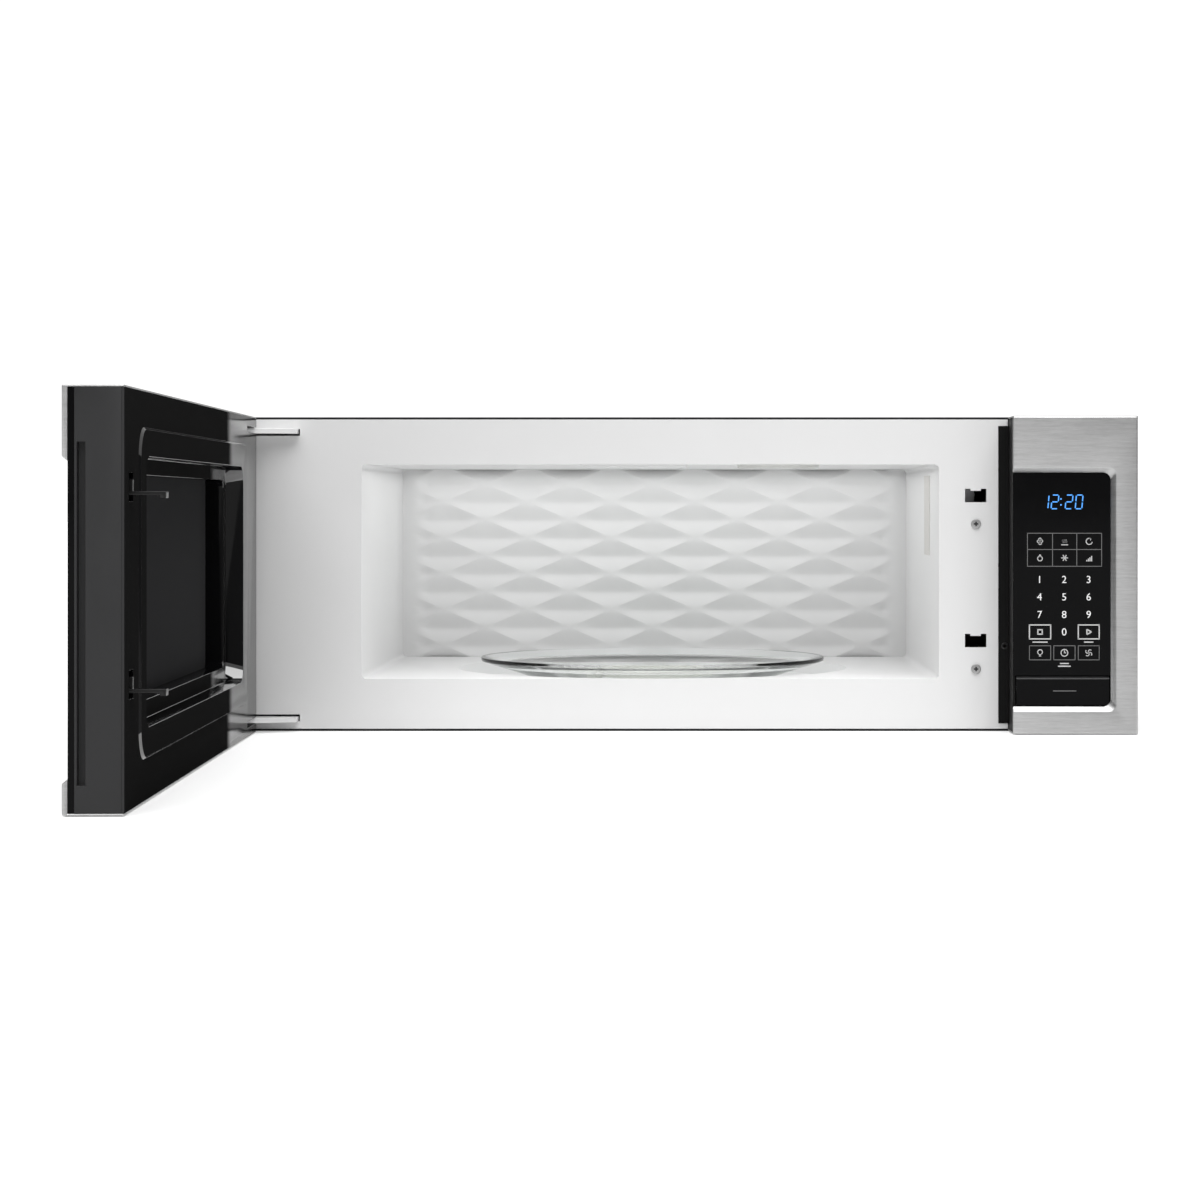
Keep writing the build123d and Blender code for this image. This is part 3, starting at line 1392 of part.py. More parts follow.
def door_choke():
    """Folded steel channel round the window that keeps the microwaves in, open at its back."""
    outside = choke_width - door_wall - move_gap
    y = (window_floor_y - pane_thickness, step_y - window_wall - move_gap)
    choke = block(grow(window_x, outside), y, grow(window_z, outside))
    inside = pane_overlap - step_inset + move_gap
    choke -= block(grow(window_x, inside), grow(y, cut_margin), grow(window_z, inside))
    hollow_y = (y[0] + choke_sheet, y[1] + cut_margin)
    hollow = block(grow(window_x, outside - choke_sheet), hollow_y, grow(window_z, outside - choke_sheet))
    hollow -= block(grow(window_x, inside + choke_sheet), hollow_y, grow(window_z, inside + choke_sheet))
    return choke - hollow


def door_screen():
    """Perforated steel sheet in front of the pane."""
    outside = choke_width - door_wall - move_gap
    low = window_floor_y - pane_thickness - screen_sheet
    return block(grow(window_x, outside), (low, low + screen_sheet), grow(window_z, outside))


def latch_bar():
    """Sliding bar with the two hooks that reach into the cabinet."""
    bar = block(bar_x, bar_y, bar_z)
    tip_y = door_back_y + hook_reach
    for z in latch_heights:
        shank_z = around(z, hook_thickness)
        width = around(latch_x, hook_width)
        bar += block(width, (bar_y[1], tip_y), shank_z)
        bar += block(width, (tip_y - barb_length, tip_y), (shank_z[0] - barb_drop, shank_z[0]))
        bar += block(around(latch_x, hook_width / 2), (bar_y[1], door_back_y - gusset_setback),
                     (z, z + gusset_rise))
    return bar


def latch_spring():
    """Spring that pushes the latch bar down."""
    low = bar_z[1] + spring_wire + move_gap
    height = shelf_z - spring_wire - low
    path = Helix(pitch=height / spring_turns, height=height, radius=spring_radius)
    start = Plane(origin=path @ 0, z_dir=path % 0)
    coil = sweep(start * Circle(spring_wire), path=path)
    return Pos(latch_x, sum(bar_y) / 2, low) * coil


# ------------------------------------------------------------ the whole unit
cabinet_pieces = {
    "outer_wrap": outer_wrap,
    "base_pan": base_pan,
    "rear_panel": rear_panel,
    "wall_plate": wall_plate,
    "cord_bushing": cord_bushing,
    "cavity_face": cavity_face,
    "cavity_shell": cavity_shell,
    "cavity_back": cavity_back,
    "waveguide_cover": waveguide_cover,
    "ceiling_baffle": ceiling_baffle,
    "cavity_lamp_cover": cavity_lamp_cover,
    "cavity_lamp": cavity_lamp,
    "hinge_bracket_upper": hinge_bracket_upper,
    "hinge_bracket_lower": hinge_bracket_lower,
    "front_screws": front_screws,
    "latch_board": latch_board,
    "interlock_switches": interlock_switches,
    "release_lever": release_lever,
    "control_bezel": control_bezel,
    "touch_glass": touch_glass,
    "release_button": release_button,
    "control_housing": control_housing,
    "control_board": control_board,
    "display_module": display_module,
    "glass_plate": glass_plate,
    "drive_coupler": drive_coupler,
    "roller_ring": roller_ring,
    "turntable_motor": turntable_motor,
    "waveguide": waveguide,
    "magnetron": magnetron,
    "transformer": transformer,
    "capacitor": capacitor,
    "diode": diode,
    "bay_partition": bay_partition,
    "cooling_fan": cooling_fan,
    "fan_motor": fan_motor,
    "noise_filter": noise_filter,
    "blower_motor": blower_motor,
    "blower_shaft": blower_shaft,
    "blower_wheel_front": blower_wheel_front,
    "blower_wheel_rear": blower_wheel_rear,
    "blower_housing": blower_housing,
    "exhaust_collar": exhaust_collar,
    "damper_flap": damper_flap,
    "grease_filters": grease_filters,
    "light_lenses": light_lenses,
    "light_boards": light_boards,
}

door_pieces = {
    "door_trim": door_trim,
    "door_glass": door_glass,
    "door_frame": door_frame,
    "door_inner_cover": door_inner_cover,
    "window_pane": window_pane,
    "door_choke": door_choke,
    "door_screen": door_screen,
    "latch_bar": latch_bar,
    "latch_spring": latch_spring,
    "hinge_bushings": hinge_bushings,
}


def swing_open(shape):
    """Turns a door piece about the hinge line to the open position."""
    return Pos(hinge_x, hinge_y, 0) * Rot(0, 0, -open_angle) * Pos(-hinge_x, -hinge_y, 0) * shape


def save(name, shape):
    export_step(shape, f"parts/{name}.step")


os.makedirs("parts", exist_ok=True)
for name, make in cabinet_pieces.items():
    save(name, make())
for number, angle in enumerate(roller_places(), start=1):
    save(f"roller_{number}", roller(angle))
for name, make in door_pieces.items():
    save(name, swing_open(make()))
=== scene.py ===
from math import atan2, cos, hypot, pi, radians, sin

import bpy
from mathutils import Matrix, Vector


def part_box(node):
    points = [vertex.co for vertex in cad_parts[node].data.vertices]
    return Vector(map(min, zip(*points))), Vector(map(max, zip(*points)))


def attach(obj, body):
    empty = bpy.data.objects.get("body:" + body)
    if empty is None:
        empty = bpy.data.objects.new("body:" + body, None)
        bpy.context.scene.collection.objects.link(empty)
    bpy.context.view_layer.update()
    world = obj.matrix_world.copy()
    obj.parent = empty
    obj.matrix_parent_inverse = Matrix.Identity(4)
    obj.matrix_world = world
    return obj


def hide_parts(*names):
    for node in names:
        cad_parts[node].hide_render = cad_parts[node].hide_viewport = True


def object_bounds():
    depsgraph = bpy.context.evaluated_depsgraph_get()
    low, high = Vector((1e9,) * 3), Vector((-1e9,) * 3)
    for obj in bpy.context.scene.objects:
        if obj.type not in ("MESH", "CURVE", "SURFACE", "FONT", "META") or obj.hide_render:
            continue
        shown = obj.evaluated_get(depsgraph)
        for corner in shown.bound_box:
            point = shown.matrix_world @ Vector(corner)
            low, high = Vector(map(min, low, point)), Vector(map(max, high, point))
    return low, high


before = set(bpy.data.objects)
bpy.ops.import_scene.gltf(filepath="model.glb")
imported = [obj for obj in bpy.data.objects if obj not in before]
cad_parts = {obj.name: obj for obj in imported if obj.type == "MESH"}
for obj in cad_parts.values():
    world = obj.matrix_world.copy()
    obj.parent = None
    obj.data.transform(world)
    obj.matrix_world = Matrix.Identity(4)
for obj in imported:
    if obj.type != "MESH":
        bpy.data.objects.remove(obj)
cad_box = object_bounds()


# ------------------------------------------------------------ painted cabinet
# Thin steel sheets folded into a wrap over the top and sides, an underside pan and a back,
# powder coated in dark grey. The paint has a fine pebbled skin and a low sheen.
def start_material(name, color, roughness=0.5, metallic=0.0):
    """A new material with its own colour, roughness and metal value on the shader."""
    material = bpy.data.materials.new(name)
    material.use_nodes = True
    shader = material.node_tree.nodes["Principled BSDF"]
    shader.inputs["Base Color"].default_value = (*color, 1)
    shader.inputs["Roughness"].default_value = roughness
    shader.inputs["Metallic"].default_value = metallic
    return material, shader


def add_node(tree, kind, **values):
    """A node with some of its sockets set by name."""
    node = tree.nodes.new(kind)
    for socket, value in values.items():
        node.inputs[socket.replace("_", " ")].default_value = value
    return node


def start_group(name, inputs, outputs):
    """A node group with its named sockets, each given as (name, type, value)."""
    group = bpy.data.node_groups.new(name, "ShaderNodeTree")
    for socket_name, kind, value in inputs:
        socket = group.interface.new_socket(socket_name, in_out="INPUT", socket_type=kind)
        socket.default_value = value
    for socket_name, kind in outputs:
        group.interface.new_socket(socket_name, in_out="OUTPUT", socket_type=kind)
    return group, group.nodes.new("NodeGroupInput"), group.nodes.new("NodeGroupOutput")


FLOAT = "NodeSocketFloat"
VECTOR = "NodeSocketVector"
COLOR = "NodeSocketColor"

skin_group, skin_in, skin_out = start_group(
    "pebbled_skin",
    [("Scale", FLOAT, 900.0), ("Height", FLOAT, 0.00002), ("Smooth", FLOAT, 0.3), ("Rough", FLOAT, 0.5),
     ("Dark", COLOR, (0, 0, 0, 1)), ("Light", COLOR, (1, 1, 1, 1))],
    [("Color", COLOR), ("Roughness", FLOAT), ("Normal", VECTOR)])
skin_place = skin_group.nodes.new("ShaderNodeTexCoord")
skin_pebbles = add_node(skin_group, "ShaderNodeTexNoise", Detail=2.0, Roughness=0.6)
skin_clouds = add_node(skin_group, "ShaderNodeTexNoise", Scale=14.0, Detail=3.0)
skin_range = add_node(skin_group, "ShaderNodeMapRange", From_Min=0.3, From_Max=0.7)
skin_tone = skin_group.nodes.new("ShaderNodeMix")
skin_tone.data_type = "RGBA"
skin_bump = add_node(skin_group, "ShaderNodeBump", Strength=1.0)
skin_links = skin_group.links
skin_links.new(skin_place.outputs["Object"], skin_pebbles.inputs["Vector"])
skin_links.new(skin_place.outputs["Object"], skin_clouds.inputs["Vector"])
skin_links.new(skin_in.outputs["Scale"], skin_pebbles.inputs["Scale"])
skin_links.new(skin_clouds.outputs["Fac"], skin_range.inputs["Value"])
skin_links.new(skin_in.outputs["Smooth"], skin_range.inputs["To Min"])
skin_links.new(skin_in.outputs["Rough"], skin_range.inputs["To Max"])
skin_links.new(skin_clouds.outputs["Fac"], skin_tone.inputs["Factor"])
skin_links.new(skin_in.outputs["Dark"], skin_tone.inputs[6])
skin_links.new(skin_in.outputs["Light"], skin_tone.inputs[7])
skin_links.new(skin_pebbles.outputs["Fac"], skin_bump.inputs["Height"])
skin_links.new(skin_in.outputs["Height"], skin_bump.inputs["Distance"])
skin_links.new(skin_tone.outputs[2], skin_out.inputs["Color"])
skin_links.new(skin_range.outputs["Result"], skin_out.inputs["Roughness"])
skin_links.new(skin_bump.outputs["Normal"], skin_out.inputs["Normal"])


def shade(color, factor):
    """A colour made darker or lighter by a factor, with its alpha."""
    return (*(channel * factor for channel in color), 1)


def skinned(name, color, grain, height, roughness, metallic=0.0, spread=0.08, gloss=0.5):
    """A material whose colour, roughness and relief come from the pebbled skin."""
    material, shader = start_material(name, color, roughness[1], metallic)
    shader.inputs["Specular IOR Level"].default_value = gloss
    tree = material.node_tree
    skin = tree.nodes.new("ShaderNodeGroup")
    skin.node_tree = skin_group
    values = {"Scale": grain, "Height": height, "Smooth": roughness[0], "Rough": roughness[1],
              "Dark": shade(color, 1 - spread), "Light": shade(color, 1 + spread)}
    for socket, value in values.items():
        skin.inputs[socket].default_value = value
    tree.links.new(skin.outputs["Color"], shader.inputs["Base Color"])
    tree.links.new(skin.outputs["Roughness"], shader.inputs["Roughness"])
    tree.links.new(skin.outputs["Normal"], shader.inputs["Normal"])
    return material


def give(material, *nodes):
    """Puts a material on CAD nodes."""
    for node in nodes:
        for material_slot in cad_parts[node].material_slots:
            material_slot.material = material


cabinet_paint = skinned("cabinet_paint", (0.045, 0.046, 0.05), 1400.0, 0.00003, (0.38, 0.5))
give(cabinet_paint, "outer_wrap", "base_pan", "rear_panel")

# ------------------------------------------------------------ zinc-plated sheet
# Brackets, ducts, the wall plate and other hidden sheet parts are pressed from zinc-plated
# steel and left bare, with the soft clouded sheen of the plating.
zinc_plate = skinned("zinc_plate", (0.62, 0.63, 0.64), 60.0, 0.00001, (0.28, 0.42), 1.0, 0.12)
give(zinc_plate, "wall_plate", "waveguide", "bay_partition", "door_choke", "exhaust_collar", "damper_flap",
     "blower_housing")

# ------------------------------------------------------------ enamelled cavity
# The cavity tub, its front frame and the ceiling baffle are steel with smooth white enamel.
# The enamel flows slightly before it sets, so its gloss ripples a little.
ENAMEL = (0.80, 0.80, 0.80)
enamel = skinned("white_enamel", ENAMEL, 160.0, 0.000002, (0.3, 0.4), spread=0.012)
give(enamel, "cavity_face", "cavity_shell", "ceiling_baffle")


# ------------------------------------------------------------ lozenge back wall
# The back of the cavity is one enamelled sheet pressed into rows of shallow lozenge dents,
# set edge to edge like scales. It is spot-welded to the rear of the tub.
def deselect():
    if bpy.context.mode != "OBJECT":
        bpy.ops.object.mode_set(mode="OBJECT")
    bpy.ops.object.select_all(action="DESELECT")


def edit(piece, kind="FACE"):
    """Opens a piece in edit mode with nothing selected."""
    deselect()
    bpy.context.view_layer.objects.active = piece
    piece.select_set(True)
    bpy.ops.object.mode_set(mode="EDIT")
    bpy.ops.mesh.select_mode(type=kind)
    bpy.ops.mesh.select_all(action="DESELECT")
    bpy.ops.object.mode_set(mode="OBJECT")


def choose_faces(piece, wanted):
    """Selects the faces that a test accepts and goes back to edit mode."""
    bpy.ops.object.mode_set(mode="OBJECT")
    for item in list(piece.data.vertices) + list(piece.data.edges):
        item.select = False
    for face in piece.data.polygons:
        face.select = wanted(face)
    bpy.ops.object.mode_set(mode="EDIT")


def apply_modifiers(piece):
    deselect()
    bpy.context.view_layer.objects.active = piece
    piece.select_set(True)
    for modifier in list(piece.modifiers):
        bpy.ops.object.modifier_apply(modifier=modifier.name)


def settle(piece, name, body, material, smooth=40):
    """Names a finished piece, applies its place and lets it ride on its body."""
    bpy.ops.object.mode_set(mode="OBJECT")
    deselect()
    bpy.context.view_layer.objects.active = piece
    piece.select_set(True)
    bpy.ops.object.transform_apply(location=True, rotation=True, scale=True)
    if smooth:
        bpy.ops.object.shade_smooth_by_angle(angle=radians(smooth))
    piece.name = name
    piece.data.name = name
    piece.data.materials.clear()
    piece.data.materials.append(material)
    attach(piece, body)
    return piece


LOZENGE_HALF_WIDTH = 0.03985
LOZENGE_HALF_HEIGHT = 0.01707
LOZENGE_DEPTH = 0.0046          # before the rounding, which takes a little of it
VALLEY_SHARE = 0.5              # size of the inner outline before it is drawn out into a valley
VALLEY_HALF_WIDTH = 0.029
VALLEY_HALF_HEIGHT = 0.0014
VALLEY_DROP = 0.0010            # valley below the middle of its lozenge
RIDGE_CREASE = 0.95
VALLEY_CREASE = 0.0
LOZENGE_SHIFT = -0.0014         # whole pattern to the left
TOP_TIP_DROP = 0.0134
BACK_SHEET = 0.0006
FLAT_MARGIN = 0.012             # plain strip beside the side walls
FLAT_FADE = 0.014

back_low, back_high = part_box("cavity_back")
back_front_y = back_low.y
back_x = (back_low.x + BACK_SHEET, back_high.x - BACK_SHEET)
back_z = (back_low.z + BACK_SHEET, back_high.z - BACK_SHEET)
back_middle = sum(back_x) / 2
deselect()
bpy.ops.mesh.primitive_circle_add(vertices=4, radius=1, fill_type="NGON", rotation=(pi / 2, 0, 0))
back_wall = bpy.context.object
bpy.ops.transform.resize(value=(LOZENGE_HALF_WIDTH, 1, LOZENGE_HALF_HEIGHT))
bpy.ops.object.transform_apply(location=True, rotation=True, scale=True)
edit(back_wall)
choose_faces(back_wall, lambda face: True)
diagonal = hypot(LOZENGE_HALF_WIDTH, LOZENGE_HALF_HEIGHT)
lozenge_reach = LOZENGE_HALF_WIDTH * LOZENGE_HALF_HEIGHT / diagonal
bpy.ops.mesh.inset(thickness=VALLEY_SHARE * lozenge_reach, depth=-LOZENGE_DEPTH)
inner_share = 1 - VALLEY_SHARE
bpy.ops.transform.resize(value=(VALLEY_HALF_WIDTH / (LOZENGE_HALF_WIDTH * inner_share), 1,
                                VALLEY_HALF_HEIGHT / (LOZENGE_HALF_HEIGHT * inner_share)))
bpy.ops.transform.translate(value=(0, 0, -VALLEY_DROP))
bpy.ops.object.mode_set(mode="OBJECT")
rows = int((back_z[1] - back_z[0]) / (2 * LOZENGE_HALF_HEIGHT)) + 2
columns = int((back_x[1] - back_x[0]) / (2 * LOZENGE_HALF_WIDTH)) + 3
for count, offset in ((columns, (2 * LOZENGE_HALF_WIDTH, 0, 0)), (rows, (0, 0, -2 * LOZENGE_HALF_HEIGHT))):
    repeat = back_wall.modifiers.new("repeat", "ARRAY")
    repeat.count = count
    repeat.use_relative_offset = False
    repeat.use_constant_offset = True
    repeat.constant_offset_displace = offset
apply_modifiers(back_wall)
edit(back_wall)
choose_faces(back_wall, lambda face: True)
bpy.ops.mesh.duplicate()
bpy.ops.transform.translate(value=(LOZENGE_HALF_WIDTH, 0, -LOZENGE_HALF_HEIGHT))
bpy.ops.mesh.select_all(action="SELECT")
first_column = back_middle - (columns // 2) * 2 * LOZENGE_HALF_WIDTH + LOZENGE_SHIFT
top_row = back_z[1] - TOP_TIP_DROP + LOZENGE_HALF_HEIGHT
bpy.ops.transform.translate(value=(first_column, back_front_y, top_row))
bpy.ops.mesh.remove_doubles(threshold=0.00002)
for low, high, crease in ((-1, 0.0001, RIDGE_CREASE), (LOZENGE_DEPTH - 0.0001, 1, VALLEY_CREASE)):
    edit(back_wall, "EDGE")
    for edge in back_wall.data.edges:
        depths = [back_wall.data.vertices[end].co.y - back_front_y for end in edge.vertices]
        edge.select = all(low < depth < high for depth in depths)
    bpy.ops.object.mode_set(mode="EDIT")
    bpy.ops.transform.edge_crease(value=crease)
bpy.ops.object.mode_set(mode="OBJECT")
rounding = back_wall.modifiers.new("rounding", "SUBSURF")
rounding.levels = rounding.render_levels = 3
apply_modifiers(back_wall)
edit(back_wall)
bpy.ops.object.mode_set(mode="EDIT")
for place, outwards in (((back_x[0], 0, 0), (-1, 0, 0)), ((back_x[1], 0, 0), (1, 0, 0)),
                        ((0, 0, back_z[0]), (0, 0, -1)), ((0, 0, back_z[1]), (0, 0, 1))):
    bpy.ops.mesh.select_all(action="SELECT")
    bpy.ops.mesh.bisect(plane_co=place, plane_no=outwards, clear_outer=True)
for side, inwards in ((back_x[0], 1), (back_x[1], -1)):
    edit(back_wall, "VERT")
    for corner in back_wall.data.vertices:
        corner.select = (corner.co.x - side) * inwards < FLAT_MARGIN
    bpy.ops.object.mode_set(mode="EDIT")
    bpy.ops.transform.resize(value=(1, 0, 1), center_override=(0, back_front_y, 0),
                             use_proportional_edit=True, proportional_edit_falloff="SMOOTH",
                             proportional_size=FLAT_FADE)
bpy.ops.object.mode_set(mode="OBJECT")
sheet = back_wall.modifiers.new("sheet", "SOLIDIFY")
sheet.thickness = BACK_SHEET
sheet.offset = -1
apply_modifiers(back_wall)
settle(back_wall, "lozenge_back_wall", "cabinet", enamel, 20)
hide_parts("cavity_back")

# ------------------------------------------------------------ waveguide cover
# A thin sheet of pressed mica closes the microwave port in the right wall. It is flaky and
# silvery grey, and it is held by a push rivet.
mica = skinned("pressed_mica", (0.67, 0.655, 0.63), 420.0, 0.00008, (0.4, 0.6), spread=0.16)
give(mica, "waveguide_cover")

# ------------------------------------------------------------ cavity lamp
# Behind a clear ribbed cover in the ceiling sits a small lamp board with white lacquer.
# It lights whenever the door stands open.
lamp_white = skinned("lamp_lacquer", (0.8, 0.8, 0.77), 300.0, 0.00002, (0.4, 0.5))
give(lamp_white, "cavity_lamp", "light_boards")
FROST = (0.93, 0.94, 0.93)
frosted = skinned("frosted_plastic", FROST, 700.0, 0.00008, (0.25, 0.4), spread=0.02)
frosted_shader = frosted.node_tree.nodes["Principled BSDF"]
frosted_shader.inputs["Transmission Weight"].default_value = 0.6
frosted_shader.inputs["IOR"].default_value = 1.45
frosted_shader.inputs["Emission Color"].default_value = (1, 0.97, 0.9, 1)
frosted_shader.inputs["Emission Strength"].default_value = 0.05
give(frosted, "cavity_lamp_cover", "light_lenses")

# ------------------------------------------------------------ turntable drive
# A flat geared motor under the floor turns a pale moulded coupler. The plate rides on three
# small rollers in a ring, all moulded in the same slippery pale plastic.
pale_moulding = skinned("pale_moulding", (0.74, 0.73, 0.68), 800.0, 0.00003, (0.35, 0.5))
give(pale_moulding, "drive_coupler", "roller_ring", "roller_1", "roller_2", "roller_3", "hinge_bushings")
motor_steel = skinned("motor_steel", (0.50, 0.51, 0.52), 90.0, 0.00002, (0.3, 0.45), 1.0, 0.15)
give(motor_steel, "turntable_motor", "fan_motor", "blower_motor", "magnetron")

# ------------------------------------------------------------ glass plate
# A pressed clear glass dish with a low upturned rim and a socket under its middle that fits
# over the coupler. It lies loose on the rollers.
PLATE_GLASS = 0.0036
PLATE_FLAT_RADIUS = 0.136
SOCKET_RADIUS = 0.0163
SOCKET_WALL = 0.003
SOCKET_DROP = 0.004

plate_low, plate_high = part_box("glass_plate")
plate_center = (plate_low + plate_high) / 2
plate_radius = (plate_high.x - plate_low.x) / 2
plate_base = plate_low.z + SOCKET_DROP
plate_rise = plate_high.z - plate_base - PLATE_GLASS


def let_light_through(material, tint):
    """Lets light pass through a clear piece without the dark shadow of solid glass."""
    tree = material.node_tree
    shader = tree.nodes["Principled BSDF"]
    path = tree.nodes.new("ShaderNodeLightPath")
    either = tree.nodes.new("ShaderNodeMath")
    either.operation = "MAXIMUM"
    clear = add_node(tree, "ShaderNodeBsdfTransparent", Color=(*tint, 1))
    mix = tree.nodes.new("ShaderNodeMixShader")
    place = tree.nodes.new("ShaderNodeTexCoord")
    cloud = add_node(tree, "ShaderNodeTexNoise", Scale=30.0, Detail=1.0)
    haze = add_node(tree, "ShaderNodeMapRange", To_Min=0.0, To_Max=0.05)
    tree.links.new(place.outputs["Object"], cloud.inputs["Vector"])
    tree.links.new(cloud.outputs["Fac"], haze.inputs["Value"])
    tree.links.new(haze.outputs["Result"], shader.inputs["Roughness"])
    tree.links.new(path.outputs["Is Shadow Ray"], either.inputs[0])
    tree.links.new(path.outputs["Is Diffuse Ray"], either.inputs[1])
    tree.links.new(either.outputs["Value"], mix.inputs["Fac"])
    tree.links.new(shader.outputs["BSDF"], mix.inputs[1])
    tree.links.new(clear.outputs["BSDF"], mix.inputs[2])
    tree.links.new(mix.outputs["Shader"], tree.nodes["Material Output"].inputs["Surface"])


deselect()
bpy.ops.mesh.primitive_cylinder_add(
    vertices=144, radius=PLATE_FLAT_RADIUS, depth=PLATE_GLASS,
    location=(plate_center.x, plate_center.y, plate_base + PLATE_GLASS / 2))
plate = bpy.context.object
bpy.ops.object.transform_apply(location=True, rotation=True, scale=True)
edit(plate)
choose_faces(plate, lambda face: abs(face.normal.z) < 0.5)
bpy.ops.mesh.extrude_region()
grown = plate_radius / PLATE_FLAT_RADIUS
bpy.ops.transform.resize(value=(grown, grown, 1), center_override=plate_center)
bpy.ops.transform.translate(value=(0, 0, plate_rise))
choose_faces(plate, lambda face: face.normal.z < -0.9)
bpy.ops.mesh.inset(thickness=PLATE_FLAT_RADIUS - SOCKET_RADIUS)
bpy.ops.mesh.inset(thickness=SOCKET_WALL)
choose_faces(plate, lambda face: face.normal.z < -0.9
             and SOCKET_RADIUS - SOCKET_WALL < (face.center - plate_center).xy.length < SOCKET_RADIUS)
bpy.ops.mesh.extrude_region_move(TRANSFORM_OT_translate={"value": (0, 0, -SOCKET_DROP)})
bpy.ops.object.mode_set(mode="OBJECT")
soft_rim = plate.modifiers.new("soft_rim", "BEVEL")
soft_rim.width = 0.0011
soft_rim.segments = 3
soft_rim.limit_method = "ANGLE"
soft_rim.angle_limit = radians(35)
apply_modifiers(plate)
clear_glass, clear_shader = start_material("clear_glass", (0.97, 0.985, 0.98), 0.02)
clear_shader.inputs["Transmission Weight"].default_value = 1.0
clear_shader.inputs["IOR"].default_value = 1.3
let_light_through(clear_glass, (0.975, 0.985, 0.982))
settle(plate, "glass_dish", "turntable", clear_glass, 50)
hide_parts("glass_plate")

# ------------------------------------------------------------ electronics bay
# Behind the control panel stand the transformer with its copper coils, the oval capacitor
# can, the black diode, the mains filter board and the fan of grey moulded plastic.
core_steel = skinned("varnished_core", (0.10, 0.075, 0.06), 500.0, 0.0001, (0.35, 0.55), 0.4, 0.2)
give(core_steel, "transformer")
can_aluminium = skinned("drawn_aluminium", (0.72, 0.73, 0.74), 200.0, 0.00002, (0.25, 0.4), 1.0, 0.08)
give(can_aluminium, "capacitor", "grease_filters")

# ------------------------------------------------------------ grease filters
# Each filter is a rolled aluminium frame round layers of crossed strands. The lowest layer
# lies under the pad, with the strands running slantwise.
FILTER_WIDTH = 0.150
FILTER_RIM = 0.009
PAD_HALF = 0.0015
STRAND_PITCH = 0.0052
STRAND_WIDTH = 0.0009
STRANDS = 40
SIDE_GAP = 0.0003
PAD_GAP = 0.0002
filters_low, filters_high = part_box("grease_filters")
pad_bottom = (filters_low.z + filters_high.z) / 2 - PAD_HALF
filter_middles = [(filters_low.x + FILTER_WIDTH / 2, (filters_low.y + filters_high.y) / 2),
                  (filters_high.x - FILTER_WIDTH / 2, (filters_low.y + filters_high.y) / 2)]
half_x = FILTER_WIDTH / 2 - FILTER_RIM - SIDE_GAP
half_y = (filters_high.y - filters_low.y) / 2 - FILTER_RIM - SIDE_GAP
strand_layers = []
for middle_x, middle_y in filter_middles:
    deselect()
    bpy.ops.mesh.primitive_grid_add(x_subdivisions=STRANDS, y_subdivisions=STRANDS,
                                    size=STRANDS * STRAND_PITCH, rotation=(0, 0, pi / 4))
    layer = bpy.context.object
    bpy.ops.object.transform_apply(location=True, rotation=True, scale=True)
    for side, reach in ((Vector((1, 0, 0)), half_x), (Vector((-1, 0, 0)), half_x),
                        (Vector((0, 1, 0)), half_y), (Vector((0, -1, 0)), half_y)):
        bpy.ops.object.mode_set(mode="EDIT")
        bpy.ops.mesh.select_all(action="SELECT")
        bpy.ops.mesh.bisect(plane_co=side * (reach - STRAND_WIDTH), plane_no=side, clear_outer=True)
        bpy.ops.object.mode_set(mode="OBJECT")
    wires = layer.modifiers.new("wires", "WIREFRAME")
    wires.thickness = STRAND_WIDTH
    wires.use_even_offset = False
    apply_modifiers(layer)
    layer.location = (middle_x, middle_y, pad_bottom - STRAND_WIDTH / 2 - PAD_GAP)
    strand_layers.append(layer)
deselect()
for layer in strand_layers:
    layer.select_set(True)
bpy.context.view_layer.objects.active = strand_layers[0]
bpy.ops.object.join()
settle(strand_layers[0], "filter_strands", "cabinet", can_aluminium, 20)
black_epoxy = skinned("black_epoxy", (0.02, 0.02, 0.02), 600.0, 0.00003, (0.3, 0.4))
give(black_epoxy, "diode")
board_green = skinned("board_lacquer", (0.02, 0.12, 0.05), 260.0, 0.00006, (0.25, 0.4), spread=0.3)
give(board_green, "control_board", "noise_filter")
fan_grey = skinned("fan_plastic", (0.10, 0.10, 0.105), 700.0, 0.00003, (0.4, 0.5))
give(fan_grey, "cooling_fan", "blower_wheel_front", "blower_wheel_rear")
bright_steel = skinned("bright_steel", (0.68, 0.68, 0.68), 300.0, 0.00002, (0.18, 0.3), 1.0, 0.06)
give(bright_steel, "blower_shaft", "latch_spring")

# ------------------------------------------------------------ black moulded parts
# The lever, the control tray and the lead's bushing are moulded in black plastic with a fine dull grain.
# The latch board and its switches are moulded in grey, and the latch bar in a smoother black.
black_moulding = skinned("black_moulding", (0.006, 0.006, 0.006), 1100.0, 0.00004, (0.38, 0.5), gloss=0.12)
give(black_moulding, "release_lever", "cord_bushing")
housing_moulding = skinned("housing_moulding", (0.008, 0.008, 0.008), 900.0, 0.00002, (0.4, 0.55),
                           gloss=0.1)
give(housing_moulding, "control_housing")
grey_moulding = skinned("grey_moulding", (0.35, 0.35, 0.35), 1100.0, 0.00004, (0.35, 0.45))
give(grey_moulding, "latch_board", "interlock_switches")


def merged_copy(node, name):
    """A copy of a CAD piece with its seams merged and its flat faces made whole."""
    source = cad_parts[node]
    piece = bpy.data.objects.new(name, source.data.copy())
    bpy.context.collection.objects.link(piece)
    piece.data.transform(source.matrix_world)
    edit(piece)
    bpy.ops.object.mode_set(mode="EDIT")
    bpy.ops.mesh.select_all(action="SELECT")
    bpy.ops.mesh.remove_doubles(threshold=0.000002)
    bpy.ops.mesh.dissolve_limited(angle_limit=radians(1))
    bpy.ops.mesh.normals_make_consistent(inside=False)
    bpy.ops.object.mode_set(mode="OBJECT")
    return piece


